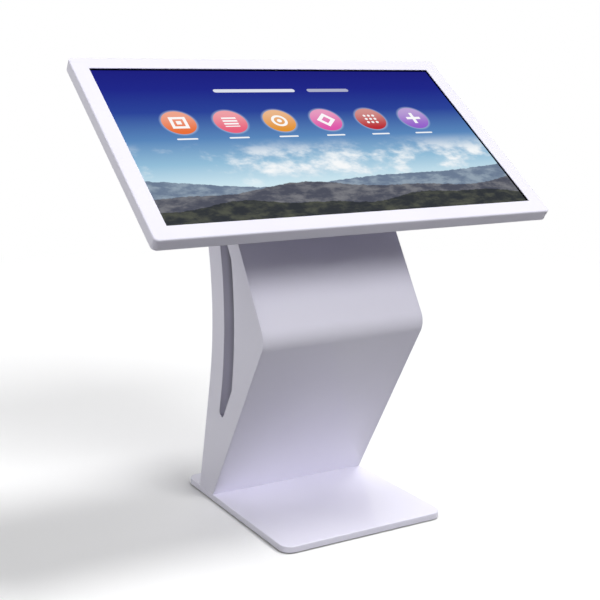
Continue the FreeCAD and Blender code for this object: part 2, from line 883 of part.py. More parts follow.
def vent_tool(low, openings):
    """Square holes on an even grid below the seam, with fewer in the lowest rows."""
    hole, pitch, margin = value("ventHole"), value("ventPitch"), value("ventMargin")
    thick = value("plateThick")
    front, bottom = value("ventFrontY"), value("ventBottomZ")
    columns = int((value("spineTopY") - front) / pitch) + 1
    rows = int((value("spineTopZ") - bottom) / pitch) + 1
    kept = {0: (4, 5), 1: (0, 1, 2, 3, 4, 5, 6, 7), 2: (0, 1, 2, 3, 4, 5, 6, 7, 9, 12)}
    cutters = []
    for column in range(columns):
        for row in range(rows):
            y, z = front + column * pitch, bottom + row * pitch
            roof = value(seam_height(y - hole / 2)) - z
            spine = value(at_level("spineUpper", "0", z - hole / 2)) - y
            near = any(math.hypot(y - at_y, z - at_z) < radius + hole for at_y, at_z, radius in openings)
            if roof < margin + hole or spine < margin or near or column not in kept.get(row, range(columns)):
                continue
            cutters.append(Part.makeBox(thick, hole, hole, Vector(low, y - hole / 2, z - hole / 2)))
    return Part.makeCompound(cutters)


def fan_opening(low):
    """Round opening in front of the fan; a ring and two crossed bars are left as its guard."""
    start = (low, "fanMidY", "fanMidZ")
    half = "guardBar / 2"
    ring_now = minus(
        "guard_ring",
        rod("guard_ring_outside", f"guardRadius / 2 + {half}", start, "plateThick", "x"),
        [rod("guard_ring_inside", f"guardRadius / 2 - {half}", start, "plateThick", "x")],
    )
    x = (low, f"{low} + plateThick")
    bars = []
    for along, across in (("guardRadius", half), (half, "guardRadius")):
        y = (f"fanMidY - {along}", f"fanMidY + {along}")
        bars.append(box("guard_bar", x, y, (f"fanMidZ - {across}", f"fanMidZ + {across}")))
    return minus("fan_opening", rod("fan_round", "guardRadius", start, "plateThick", "x"), [ring_now] + bars)


def outer_rim(edge, face):
    """The long edges of a side plate on its outer face."""
    return edge.BoundBox.XLength < 1e-4 and abs(edge.BoundBox.Center.x - value(face)) < 1e-4


def window_body(label, ring, low, thick):
    """A prism of the window's outline, or of the same outline moved out by the liner's lap."""
    made = body(label)
    pad(made, polygon(sketch(made, "YZ_Plane", low), window_corners[ring]), thick)
    nose, bottom, back, top = (corner_line(corner) for corner in window_corners[ring])
    lap = {"window": "0", "liner": "linerLap", "linerRim": "linerLap - linerWall"}[ring]
    round_edges(made, f"spineRadius + stripRear - ({lap})", back)
    round_edges(made, f"windowNose + {lap}", nose)
    round_edges(made, f"windowEnd + {lap}", bottom)
    round_edges(made, f"windowEnd + {lap}", top)
    return made


def side_plate(side, low, face):
    made = body(f"side_plate_{side}_blank")
    pad(made, polygon(sketch(made, "YZ_Plane", low), side_outline), "plateThick")
    round_edges(made, "bendRadius", corner_line(("bendY", "bendZ")))
    round_edges(made, "spineRadius", corner_line(("spineMidY", "spineMidZ")))
    round_edges(made, "plateEdge", lambda edge: outer_rim(edge, face))
    window = window_body(f"side_window_{side}", "window", low, "plateThick")
    cap_hole = rod("cap_hole", "capShank + fitGap", (low, "capMidY", "capMidZ"), "plateThick", "x")
    openings = [(value("capMidY"), value("capMidZ"), value("capRadius"))]
    cutters = [window, cap_hole]
    if side == "right":
        openings.append((value("fanMidY"), value("fanMidZ"), value("guardRadius")))
        cutters.append(fan_opening(low))
    cutters.append(loose(f"side_vents_{side}", vent_tool(value(low), openings)))
    node(minus(f"side_plate_{side}", made, cutters))


def liner_sweep(sign):
    """Dished floor that rolls over into a deep groove along the window's rear edge."""
    wall, deep = value("linerWall"), value("plateThick")
    groove, bottom, roll = value("grooveWide"), value("grooveDepth") + deep, value("rollRadius")
    reach, lap = value("linerReach"), value("linerLap") + 2
    corners = [(-lap, deep), (0, deep), (0, bottom), (groove, bottom), (groove, deep + roll)]
    under = [(groove + wall, deep + roll), (groove + wall, bottom + wall), (-wall, bottom + wall)]
    under += [(-wall, deep + wall), (-lap, deep + wall)]
    half = math.sqrt(0.5)
    middle = (groove + roll, deep + roll)

    upper = [Vector(0, value("windowHighY"), value("windowHighZ") + lap), None]
    lower = [None, Vector(0, value("windowLowY"), value("windowLowZ") - lap)]
    bend = Vector(0, value("windowBackY"), value("windowBackZ"))
    upper[0].y = value(at_level("spineUpper", "-stripRear", upper[0].z))
    lower[1].y = value(at_level("spineLower", "-stripRear", lower[1].z))
    radius = value("spineRadius + stripRear")
    up, down = (upper[0] - bend).normalize(), (lower[1] - bend).normalize()
    tangent = radius / math.tan(up.getAngle(down) / 2)
    upper[1], lower[0] = bend + up * tangent, bend + down * tangent
    inward = (up + down).normalize()
    half_turn = up.getAngle(down) / 2
    crown = bend + inward * (radius / math.sin(half_turn) - radius)
    path = Part.Wire(
        [
            Part.LineSegment(upper[0], upper[1]).toShape(),
            Part.Arc(upper[1], crown, lower[0]).toShape(),
            Part.LineSegment(lower[0], lower[1]).toShape(),
        ]
    )
    forward = Vector(0, -up.z, up.y)
    if forward.y > 0:
        forward = forward * -1
    face = value("columnHalf")

    def spot(reach_out, depth):
        return upper[0] + forward * reach_out + Vector(sign * (face - depth), 0, 0)

    def arc(start, radius_now, end):
        mid = spot(middle[0] - radius_now * half, middle[1] - radius_now * half)
        return Part.Arc(spot(*start), mid, spot(*end)).toShape()

    top_points = [spot(*corner) for corner in corners]
    low_points = [spot(*corner) for corner in under]
    edges = [Part.LineSegment(a, b).toShape() for a, b in zip(top_points, top_points[1:])]
    edges.append(arc(corners[-1], roll, (groove + roll, deep)))
    flat = groove + roll
    floor = [spot(flat, deep), spot(reach, deep), spot(reach, deep + wall), spot(flat, deep + wall)]
    edges += [Part.LineSegment(a, b).toShape() for a, b in zip(floor, floor[1:])]
    edges.append(arc((groove + roll, deep + wall), roll - wall, under[0]))
    edges += [Part.LineSegment(a, b).toShape() for a, b in zip(low_points, low_points[1:] + top_points[:1])]
    pipe = Part.BRepOffsetAPI.MakePipeShell(path)
    pipe.setBiNormalMode(Vector(1, 0, 0))
    pipe.add(Part.Wire(Part.__sortEdges__(edges)))
    pipe.build()
    pipe.makeSolid()
    return pipe.shape()


def recess_liner(side, sign, low):
    depth = "grooveDepth + linerWall"
    floor = loose(f"liner_floor_{side}", liner_sweep(sign))
    start = "columnInner - (grooveDepth + linerWall)" if sign > 0 else "-columnInner"
    outline = window_body(f"liner_outline_{side}", "liner", start, depth)
    rim = minus(
        f"liner_rim_{side}",
        window_body(f"liner_rim_outside_{side}", "liner", start, depth),
        [window_body(f"liner_rim_inside_{side}", "linerRim", start, depth)],
    )
    node(union(f"recess_liner_{side}", [common(f"liner_trimmed_{side}", floor, outline), rim]))


for side, sign, low, face in (
    ("left", -1, "-columnHalf", "-columnHalf"),
    ("right", 1, "columnInner", "columnHalf"),
):
    side_plate(side, low, face)
    recess_liner(side, sign, low)


# ---------------------------------------------------------------- stand: mesh and speakers behind the vents
def vent_mesh(side, low):
    """Fine mesh that covers the vent holes from inside."""
    made = body(f"vent_mesh_{side}_sheet")
    edge = "ventHole / 2 + meshEdge"
    low_z = f"ventBottomZ - {edge}"
    corners = [
        (f"ventFrontY - {edge}", low_z),
        (at_level("spineUpper", f"{edge} - ventMargin", low_z), low_z),
        ("meshHighY", "meshHighZ"),
        (f"ventFrontY - {edge}", seam_height(f"ventFrontY - {edge}") + " - ventMargin"),
    ]
    pad(made, polygon(sketch(made, "YZ_Plane", low), corners), "meshThick")
    if side == "right":
        opening = rod("mesh_opening", "guardRadius", (low, "fanMidY", "fanMidZ"), "meshThick", "x")
        made = minus(f"vent_mesh_{side}_cut", made, [opening])
    made.Label = f"vent_mesh_{side}"
    node(made)


def speaker(side, sign):
    """Closed speaker box with a round cone facing the vents."""
    face = f"{sign} * (columnInner - meshThick)"
    rear = f"{sign} * (columnInner - meshThick - speakerDeep)"
    half = "speakerSide / 2"
    x = (rear, face) if sign > 0 else (face, rear)
    shell = box(
        "speaker_box",
        x,
        (f"speakerMidY - {half}", f"speakerMidY + {half}"),
        (f"speakerMidZ - {half}", f"speakerMidZ + {half}"),
    )
    dish = rod("dish", "speakerSide * 0.4", ("0", "speakerMidY", "speakerMidZ"), "speakerDeep / 3", "x")
    shift = f"{face} - speakerDeep / 3" if sign > 0 else face
    bind(dish, "Placement", f"placement(vector({shift}; speakerMidY; speakerMidZ); {turns['x']})")
    dome = doc.addObject("Part::Sphere", "dome")
    bind(dome, "Radius", "speakerSide * 0.18")
    dome_x = f"{face} - {sign} * speakerDeep * 0.44"
    bind(dome, "Placement", f"placement(vector({dome_x}; speakerMidY; speakerMidZ); {turns['z']})")
    node(union(f"speaker_{side}", [minus(f"speaker_shell_{side}", shell, [dish]), dome]))


vent_mesh("left", "-columnInner")
vent_mesh("right", "columnInner - meshThick")
speaker("left", -1)
speaker("right", 1)
caps = []
for cap_start, shank_start in (("columnHalf", "columnInner"), ("-columnHalf - capThick", "-columnHalf")):
    lid = rod("cap_lid", "capRadius", (cap_start, "capMidY", "capMidZ"), "capThick", "x")
    shank = rod("cap_shank", "capShank", (shank_start, "capMidY", "capMidZ"), "plateThick", "x")
    caps.append(union("side_cap", [lid, shank]))
node(group("side_caps", caps))


# ---------------------------------------------------------------- stand: folded sheets
def front_panel():
    """One bent sheet: the front of the column above and below the bend."""
    made = node(body("front_panel"))
    corners = [
        ("wedgeInnerY", "wedgeBottomZ"),
        ("bendY", "bendZ"),
        ("frontFootY", "baseTop"),
        (at_level("frontLower", "sheetThick", "baseTop"), "baseTop"),
        ("frontBendY", "frontBendZ"),
        (at_level("frontUpper", "sheetThick", "wedgeBottomZ"), "wedgeBottomZ"),
    ]
    pad(made, polygon(sketch(made, "YZ_Plane"), corners), "2 * sheetHalf", middle=True)
    round_edges(made, "bendRadius", corner_line(("bendY", "bendZ")))
    round_edges(made, "bendRadius - sheetThick", corner_line(("frontBendY", "frontBendZ")))


def wedge_cover():
    """Folded sheet that closes the front and the underside of the wedge."""
    made = node(body("wedge_cover"))
    rear = "wedgeInnerY + wedgeFlange"
    inner = "wedgeFrontY + sheetThick"
    corners = [
        ("wedgeFrontY", "wedgeBottomZ"),
        (rear, "wedgeBottomZ"),
        (rear, "wedgeBottomZ + sheetThick"),
        (inner, "wedgeBottomZ + sheetThick"),
        (inner, seam_height(inner) + " - fitGap"),
        ("wedgeFrontY", "wedgeFrontZ - fitGap"),
    ]
    pad(made, polygon(sketch(made, "YZ_Plane"), corners), "2 * sheetHalf", middle=True)


inlet_half = ("(inletWide / 2 + fitGap)", "(inletTall / 2 + fitGap)")


def rear_panel():
    """Rear sheet that follows the spine, with the door opening, the inlet cut-out and intake slots."""
    made = body("rear_panel_blank")
    corners = [
        ("rearTopY", "rearTopZ"),
        ("spineMidY", "spineMidZ"),
        ("spineFootY", "baseTop"),
        (at_level("spineLower", "-sheetThick", "baseTop"), "baseTop"),
        ("rearBendY", "rearBendZ"),
        ("rearTopInnerY", "rearTopInnerZ"),
    ]
    pad(made, polygon(sketch(made, "YZ_Plane"), corners), "2 * sheetHalf", middle=True)
    round_edges(made, "spineRadius", corner_line(("spineMidY", "spineMidZ")))
    round_edges(made, "spineRadius + sheetThick", corner_line(("rearBendY", "rearBendZ")))
    through = ("-2 * sheetThick", "sheetThick")
    cutters = []
    for wide, tall, where in (("doorWide / 2", "doorTall / 2", door), (inlet_half[0], inlet_half[1], inlet)):
        cutters.append(box("opening", (f"-{wide}", wide), through, (f"-{tall}", tall), where))
    for number in range(int(value("intakeRows"))):
        low = f"inletTall + {number} * slotPitch"
        for middle in ("-slotLong * 0.6", "slotLong * 0.6"):
            x = (f"{middle} - slotLong / 2", f"{middle} + slotLong / 2")
            cutters.append(box("intake", x, through, (low, f"{low} + slotWide"), inlet))
    for x, z, where in panel_screw_places:
        start = (x, "-2 * sheetThick", z)
        cutters.append(rod("screw_hole", "screwRadius + fitGap", start, "3 * sheetThick", "y", where))
    node(minus("rear_panel", made, cutters))


def tube(label, y, z, where=None):
    """Square steel tube welded between the side plates."""
    x = ("-columnInner", "columnInner")
    outside = box("tube_outside", x, (y, f"{y} + tubeSide"), (z, f"{z} + tubeSide"), where)
    bore = box(
        "tube_bore",
        x,
        (f"{y} + tubeWall", f"{y} + tubeSide - tubeWall"),
        (f"{z} + tubeWall", f"{z} + tubeSide - tubeWall"),
        where,
    )
    return minus(label, outside, [bore])


# the rear panel is screwed to a flat bar above the door and to the lowest cross tube
bar_low = "(doorTall / 2 + sheetThick + barGap)"
tube_low = "(intakeTop + slotPitch)"
panel_screw_places = [
    (f"{side} * columnInner", f"{low} + tubeSide / 2", where)
    for low, where in ((bar_low, door), (tube_low, inlet))
    for side in ("-0.8", "0.8")
]


def tapped(label, blank, places_now, deep):
    """A cross member with the threaded holes for its panel screws."""
    start = f"-sheetThick - {deep}"
    holes = [rod("tap", "screwRadius", (x, start, z), deep, "y", where) for x, z, where in places_now]
    node(minus(label, blank, holes))


front_panel()
wedge_cover()
rear_panel()
bar = box(
    "rear_bar_blank",
    ("-columnInner", "columnInner"),
    ("-sheetThick - barThick", "-sheetThick"),
    (bar_low, f"{bar_low} + tubeSide"),
    door,
)
tapped("rear_top_bar", bar, panel_screw_places[:2], "barThick")
low_tube = tube("rear_tube_blank", "-sheetThick - tubeSide", tube_low, inlet)
tapped("cross_tube_rear_low", low_tube, panel_screw_places[2:], "tubeSide")
shelf_tube_z = "powerShelfZ - sheetThick - tubeSide"
node(tube("cross_tube_front_mid", "powerShelfFrontY", shelf_tube_z))
node(tube("cross_tube_rear_mid", "powerShelfRearY - tubeSide", shelf_tube_z))
node(tube("cross_tube_wedge", "wedgeFrontY + sheetThick + fitGap", "wedgeBottomZ + sheetThick + fitGap"))
panel_screws = []
for x, z, where in panel_screw_places:
    start = (x, "-sheetThick - barThick", z)
    shank = rod("shank", "screwRadius - fitGap", start, "barThick + sheetThick", "y", where)
    button = rod("button", "screwHead", (x, "0", z), "screwHeadTall", "y", where)
    panel_screws.append(union("panel_screw", [shank, button]))
node(group("rear_panel_screws", panel_screws))


# ---------------------------------------------------------------- service door, hinges and lock
def door_body(label):
    return body(label, door)


def door_surround():
    """Rebate welded behind the opening: four walls and a lip that stops the door."""
    made = node(door_body("door_surround"))
    outer = ("doorWide / 2 + sheetThick", "doorTall / 2 + sheetThick")
    clear = ("doorWide / 2", "doorTall / 2")
    lip = ("doorWide / 2 - stopLip", "doorTall / 2 - stopLip")
    drawn = sketch(made, "XZ_Plane", "sheetThick")
    rectangle(drawn, f"-({outer[0]})", f"-({outer[1]})", *outer)
    pad(made, drawn, "doorFold + fitGap + sheetThick")
    drawn = sketch(made, "XZ_Plane", "sheetThick")
    rectangle(drawn, f"-({clear[0]})", f"-({clear[1]})", *clear)
    pocket(made, drawn, "doorFold + fitGap", reverse=True)
    drawn = sketch(made, "XZ_Plane", "sheetThick")
    rectangle(drawn, f"-({lip[0]})", f"-({lip[1]})", *lip)
    pocket(made, drawn, "doorFold + fitGap + 2 * sheetThick", reverse=True)


def service_door():
    """Door leaf with folded edges and the hole for the lock."""
    made = node(door_body("service_door"))
    outer = ("doorWide / 2 - doorGap", "doorTall / 2 - doorGap")
    inner = ("doorWide / 2 - doorGap - sheetThick", "doorTall / 2 - doorGap - sheetThick")
    drawn = sketch(made, "XZ_Plane")
    rectangle(drawn, f"-({outer[0]})", f"-({outer[1]})", *outer)
    pad(made, drawn, "doorFold + sheetThick")
    drawn = sketch(made, "XZ_Plane", "sheetThick")
    rectangle(drawn, f"-({inner[0]})", f"-({inner[1]})", *inner)
    pocket(made, drawn, "doorFold", reverse=True)
    drawn = circle(sketch(made, "XZ_Plane"), "lockPlace", "0", "lockRadius + fitGap")
    pocket(made, drawn, "sheetThick", reverse=True)


hinge_x = "-doorWide / 2"
knuckle_third = "hingeTall / 3"


def hinge_leaf(label, z, sign, spans):
    """Flat leaf on the outer face, with a root under each of its knuckles."""
    edge = f"{hinge_x} + {sign} * knuckleClear"
    far = f"{hinge_x} + {sign} * leafWide"
    x = (edge, far) if sign > 0 else (far, edge)
    root_x = (hinge_x, edge) if sign > 0 else (edge, hinge_x)
    flat = ("0", "leafThick")
    parts = [box("leaf", x, flat, (f"{z} - hingeTall / 2", f"{z} + hingeTall / 2"), door)]
    for low, high in spans:
        parts.append(box("root", root_x, flat, (low, high), door))
        start = (hinge_x, "knuckleLift", low)
        parts.append(rod("knuckle", "knuckleRadius", start, f"({high}) - ({low})", "z", door))
    bore = rod(
        "pin_bore",
        "hingePin + runningGap",
        (hinge_x, "knuckleLift", f"{z} - hingeTall / 2"),
        "hingeTall",
        "z",
        door,
    )
    node(minus(label, union(label + "_blank", parts), [bore]))


def hinge(level, z):
    low, high = f"{z} - hingeTall / 2", f"{z} + hingeTall / 2"
    first, second = f"{low} + {knuckle_third}", f"{high} - {knuckle_third}"
    hinge_leaf(f"hinge_leaf_fixed_{level}", z, -1, [(low, first), (second, high)])
    hinge_leaf(f"hinge_leaf_door_{level}", z, 1, [(f"{first} + fitGap", f"{second} - fitGap")])
    shaft = rod("shaft", "hingePin", (hinge_x, "knuckleLift", low), "hingeTall", "z", door)
    heads = [
        rod("head", "hingePin + 1", (hinge_x, "knuckleLift", start), "1", "z", door)
        for start in (f"{low} - 1", high)
    ]
    node(union(f"hinge_pin_{level}", [shaft] + heads))


def lock():
    """Cam lock: a barrel clamped in the door, a plug that turns in it and the cam on its tail."""
    back = "-(doorFold + sheetThick + barrelPast)"
    cam_back = f"{back} - fitGap - camThick"

    def turned(label, radius, start, end):
        return rod(label, radius, ("lockPlace", start, "0"), f"({end}) - ({start})", "y", door)

    parts = [
        turned("sleeve", "lockRadius", back, "0"),
        turned("flange", "lockFlange", "0", "lockFlangeThick"),
        turned("nut", "lockFlange + 1", "-sheetThick - lockNut", "-sheetThick"),
    ]
    bore = turned("plug_bore", "plugRadius + runningGap", back, "lockFlangeThick")
    node(minus("lock_barrel", union("lock_barrel_blank", parts), [bore]))
    plug = [
        turned("plug", "plugRadius", back, "lockFlangeThick + 0.5"),
        turned("tail", "camTail", f"{cam_back} - camTail / 2", back),
    ]
    key_way = box(
        "key_way",
        ("lockPlace - keyWide / 2", "lockPlace + keyWide / 2"),
        ("lockFlangeThick - keyDeep", "lockFlangeThick + 0.5"),
        ("-keyTall / 2", "keyTall / 2"),
        door,
    )
    node(minus("lock_plug", union("lock_plug_blank", plug), [key_way]))
    bar_x = ("lockPlace - camWide / 2", "lockPlace + camWide / 2")
    bar = box("cam_bar", bar_x, (cam_back, f"{back} - fitGap"), ("-camWide / 2", "camLong"), door)
    node(minus("lock_cam", bar, [turned("cam_hole", "camTail", cam_back, f"{back} - fitGap")]))


door_surround()
service_door()
hinge("upper", "hingeHalf")
hinge("lower", "-hingeHalf")
lock()


# ---------------------------------------------------------------- mains inlet
def inlet_block(label, wide, tall, low, high, middle="0"):
    """A block of the inlet, centred on its middle line, from one depth to another."""
    z = (f"{middle} - {tall} / 2", f"{middle} + {tall} / 2")
    return box(label, (f"-{wide} / 2", f"{wide} / 2"), (low, high), z, inlet)


def power_inlet():
    """Three-pin inlet below, pocket for the rocker above, on one flange."""
    rim = ("(inletWide + 2 * inletFlange)", "(inletTall + 2 * inletFlange)")
    shell = union(
        "inlet_blank",
        [
            inlet_block("case", "inletWide", "inletTall", "-inletDeep", "0"),
            inlet_block("flange", *rim, "0", "inletFlangeThick"),
        ],
    )
    room = ("(rockerWide + 2 * fitGap)", "(2 * rockerRoom)")
    axle_start = ("-rockerWide / 2 - axlePast", "-rockerPivot", "rockerPlace")
    cutters = [
        inlet_block("socket", "socketWide", "socketTall", "-socketDeep", "inletFlangeThick", "socketPlace"),
        inlet_block("rocker_room", *room, "-rockerDeep", "inletFlangeThick", "rockerPlace"),
        rod("pivot_bore", "hingePin + runningGap", axle_start, "rockerWide + 2 * axlePast", "x", inlet),
    ]
    pins = [
        box(
            "pin",
            (f"{x} - pinWide / 2", f"{x} + pinWide / 2"),
            ("-socketDeep - pinWide", "-pinSunk"),
            (f"{z} - pinTall / 2", f"{z} + pinTall / 2"),
            inlet,
        )
        for x, z in (
            ("-pinSpread", "socketPlace - pinRise"),
            ("pinSpread", "socketPlace - pinRise"),
            ("0", "socketPlace + pinRise"),
        )
    ]
    node(union("power_inlet", [minus("inlet_shell", shell, cutters)] + pins))


def rocker_switch():
    """Rocker with a shallow V face, drawn tipped to its off position."""
    pivot = "placement(vector(0; -rockerPivot; rockerPlace); rotation(vector(1; 0; 0); -rockerTilt))"
    made = body("rocker", f"{inlet} * {pivot}")
    corners = [
        ("rockerTop", "-rockerHalf"),
        ("rockerTop - rockerDish", "0"),
        ("rockerTop", "rockerHalf"),
        ("-rockerFoot", "rockerFoot"),
        ("-rockerFoot", "-rockerFoot"),
    ]
    pad(made, polygon(sketch(made, "YZ_Plane"), corners), "rockerWide", middle=True)
    axle_start = ("-rockerWide / 2 - axlePast", "-rockerPivot", "rockerPlace")
    axle = rod("axle", "hingePin", axle_start, "rockerWide + 2 * axlePast", "x", inlet)
    node(union("rocker_switch", [made, axle]))


power_inlet()
rocker_switch()


# ---------------------------------------------------------------- equipment
def equipment_shelf():
    """Folded shelf for the computer, welded between the side plates."""
    made = node(body("equipment_shelf"))
    low, top = "shelfTopZ - sheetThick", "shelfTopZ + shelfFlange"
    inner = "columnInner - sheetThick"
    corners = [
        ("-columnInner", low),
        ("columnInner", low),
        ("columnInner", top),
        (inner, top),
        (inner, "shelfTopZ"),
        (f"-({inner})", "shelfTopZ"),
        (f"-({inner})", top),
        ("-columnInner", top),
    ]
    pad(made, polygon(sketch(made, "XZ_Plane", "-shelfRearY"), corners), "shelfRearY - shelfFrontY")


def mini_pc():
    """Small computer on four feet, with vents on top and ports on its right side."""
    x = ("-computerWide / 2", "computerWide / 2")
    y = ("computerMidY - computerDeep / 2", "computerMidY + computerDeep / 2")
    low, high = "computerLow", "computerLow + computerTall"
    slot_long = "computerWide * 0.3"
    slots = []
    for number in range(-4, 5):
        middle_y = f"computerMidY + {number} * caseSlotPitch"
        slot_y = (f"{middle_y} - caseSlot / 2", f"{middle_y} + caseSlot / 2")
        slots.append(box("slot", (f"-{slot_long}", slot_long), slot_y, (f"{high} - caseSlot", high)))
    case = minus("computer_case", box("computer", x, y, (low, high)), slots)
    feet = []
    for side in ("-1", "1"):
        for end in ("-", "+"):
            foot_y = f"computerMidY {end} (computerDeep / 2 - footInset / 3)"
            start = (f"{side} * (computerWide / 2 - footInset / 3)", foot_y, "shelfTopZ")
            feet.append(rod("foot", "2 * boltRadius", start, "computerFoot", "z"))
    node(union("mini_pc", [case] + feet))


def power_supply():
    """Closed power supply with cooling slots, on its own shelf across the bend."""
    half = "powerShelfWide / 2"
    shelf = box(
        "power_shelf_blank",
        (f"-{half}", half),
        ("powerShelfFrontY", "powerShelfRearY"),
        ("powerShelfZ - sheetThick", "powerShelfZ"),
    )
    start = ("riserPlace", "supplyMidY", "powerShelfZ - sheetThick")
    hole = rod("cable_hole", "grommetHole", start, "sheetThick", "z")
    node(minus("power_shelf", shelf, [hole]))
    high = "powerShelfZ + supplyTall"
    slot_y = ("supplyMidY - supplyDeep * 0.3", "supplyMidY + supplyDeep * 0.3")
    slots = []
    for number in range(-5, 6):
        middle_x = f"{number} * caseSlotPitch"
        slot_x = (f"{middle_x} - caseSlot / 2", f"{middle_x} + caseSlot / 2")
        slots.append(box("slot", slot_x, slot_y, (f"{high} - caseSlot", high)))
    case = box(
        "supply",
        ("-supplyWide / 2", "supplyWide / 2"),
        ("supplyMidY - supplyDeep / 2", "supplyMidY + supplyDeep / 2"),
        ("powerShelfZ", high),
    )
    node(minus("power_supply", case, slots))


def cooling_fan():
    """Fan housing behind its opening on the right, and a rotor on a shaft in its hub."""
    face = "(columnInner - meshThick)"
    rear = f"({face} - fanDeep)"
    half = "fanSide / 2"
    centre = ("fanMidY", "fanMidZ")
    sides = (f"fanMidY - {half}", f"fanMidY + {half}"), (f"fanMidZ - {half}", f"fanMidZ + {half}")
    shell = box("fan_box", (rear, face), *sides)
    bore = rod("fan_bore", "fanBore", (rear, *centre), "fanDeep", "x")
    arms = []
    for along, across in (("fanBore", "fanArm"), ("fanArm", "fanBore")):
        y = (f"fanMidY - {along}", f"fanMidY + {along}")
        arms.append(box("arm", (rear, f"{rear} + fanArm"), y, (f"fanMidZ - {across}", f"fanMidZ + {across}")))
    arms.append(rod("hub", "fanHub - 2", (rear, *centre), "2 * fanArm", "x"))
    shaft_hole = rod("shaft_hole", "fanShaft + runningGap", (rear, *centre), "2 * fanArm", "x")
    framed = union("fan_frame", [minus("fan_shell", shell, [bore])] + arms)
    node(minus("fan_housing", framed, [shaft_hole]))
    front = f"({rear} + 2 * fanArm + fitGap)"
    long = f"({face} - 1 - {front})"
    parts = [
        rod("rotor_hub", "fanHub", (front, *centre), long, "x"),
        rod("shaft", "fanShaft", (rear, *centre), "2 * fanArm + 1", "x"),
    ]
    pitch = "placement(vector(0; 0; 0); rotation(vector(0; 0; 1); 40))"
    chord = ("-bladeChord / 2", "bladeChord / 2")
    for number in range(int(value("bladeCount"))):
        turn = f"rotation(vector(1; 0; 0); {number} * 360 / bladeCount)"
        around = f"placement(vector({front} + {long} / 2; fanMidY; fanMidZ); {turn}) * {pitch}"
        thick = ("-bladeThick / 2", "bladeThick / 2")
        parts.append(box("blade", thick, chord, ("fanHub - 2", "fanBore - 2"), around))
    node(union("fan_rotor", parts))


equipment_shelf()
mini_pc()
power_supply()
cooling_fan()


# ---------------------------------------------------------------- base
sole_y = ("frontFootY + soleMargin", "spineFootY - 2 * soleMargin")
base_bolt_places = [(f"{x} * columnInner / 4", "(frontFootY + spineFootY) / 2") for x in (-3, -1, 1, 3)]


def rounded_plate(label, inset, top, thick):
    """Plate over the whole base, drawn in by a given distance and rounded to match."""
    made = body(label)
    wide = f"(columnHalf - ({inset}))"
    drawn = sketch(made, "XY_Plane", top)
    rectangle(drawn, f"-{wide}", f"baseFrontY + {inset}", wide, f"baseRearY - ({inset})")
    pad(made, drawn, thick, reverse=True)
    round_edges(made, f"baseCorner - ({inset})", standing)
    return made


def base_bolt_holes(start, length):
    return [rod("hole", "boltRadius + fitGap", (x, y, start), length, "z") for x, y in base_bolt_places]


def column_sole():
    """Thick plate across the foot of the column, which the base bolts pull down."""
    plate = box("sole_blank", ("-columnInner", "columnInner"), sole_y, ("baseTop", "baseTop + soleThick"))
    node(minus("column_sole", plate, base_bolt_holes("baseTop", "soleThick")))


def base_pan():
    """Folded base: flat top with rounded corners and a short skirt."""
    made = rounded_plate("pan_outside", "0", "baseTop", "baseTall")
    top = value("baseTop")
    round_edges(made, "baseEdge", lambda edge: edge.BoundBox.ZMin > top - 1e-4)
    inside = rounded_plate("pan_inside", "baseWall", "baseTop - baseWall", "baseTall - baseWall")
    node(minus("base_pan", made, [inside] + base_bolt_holes("baseTop - baseWall", "baseWall")))


def ballast_plate():
    """Steel plate inside the base that keeps the kiosk from tipping."""
    made = rounded_plate("ballast_blank", "baseWall + fitGap", "baseTop - baseWall", "ballastThick")
    node(minus("ballast_plate", made, base_bolt_holes("baseTop - baseWall - ballastThick", "ballastThick")))


column_sole()
base_pan()
ballast_plate()
ballast_low = "(baseTop - baseWall - ballastThick)"
pads = []
for x in ("footInset - columnHalf", "columnHalf - footInset"):
    for y in ("baseFrontY + footInset", "(baseFrontY + baseRearY) / 2", "baseRearY - footInset"):
        pads.append(rod("pad", "footRadius", (x, y, "0"), ballast_low, "z"))
node(group("foot_pads", pads))
fixings = []
for x, y in base_bolt_places:
    shank = rod("shank", "boltRadius", (x, y, ballast_low), f"baseTop + soleThick + 9 - {ballast_low}", "z")
    cap = rod("cap", "boltHead", (x, y, f"{ballast_low} - 4"), "4", "z")
    fixings.append(union("base_bolt", [shank, cap]))
    nut = rod("nut_outside", "boltHead", (x, y, "baseTop + soleThick"), "boltHeadTall", "z")
    bore = rod("nut_bore", "boltRadius", (x, y, "baseTop + soleThick"), "boltHeadTall", "z")
    fixings.append(minus("base_nut", nut, [bore]))
node(group("base_fixings", fixings))


# ---------------------------------------------------------------- cables inside the kiosk
def spot_in(where, x, y, z):
    """A point given in a local frame, in the kiosk's own frame."""
    return value(f"{where} * placement(vector({x}; {y}; {z}); {turns['z']})").Base


def cable(label, points):
    """Straight runs joined by tangent arcs, as large as the shorter run beside each one allows."""
    radius = value("cableRadius")
    edges, start = [], points[0]
    for before, corner, after in zip(points, points[1:], points[2:]):
        back, ahead = before - corner, after - corner
        trim = 0.45 * min(back.Length, ahead.Length)
        turn = math.pi - back.getAngle(ahead)
        bend = trim / math.tan(turn / 2)
        back.normalize()
        ahead.normalize()
        inward = (back + ahead).normalize()
        crown = corner + inward * (bend / math.cos(turn / 2) - bend)
        print(label, "bend radius", round(bend, 1), "turn", round(math.degrees(turn)))
        edges.append(Part.LineSegment(start, corner + back * trim).toShape())
        edges.append(Part.Arc(corner + back * trim, crown, corner + ahead * trim).toShape())
        start = corner + ahead * trim
    edges.append(Part.LineSegment(start, points[-1]).toShape())
    path = Part.Wire(edges)
    profile = Part.Wire([Part.Circle(points[0], points[1] - points[0], radius).toShape()])
    solid = path.makePipeShell([profile], True, False)
    wanted = path.Length * math.pi * radius**2
    if abs(solid.Volume - wanted) > 0.01 * wanted:
        raise RuntimeError(label + ": the tube's volume is wrong")
    node(loose(label, solid))


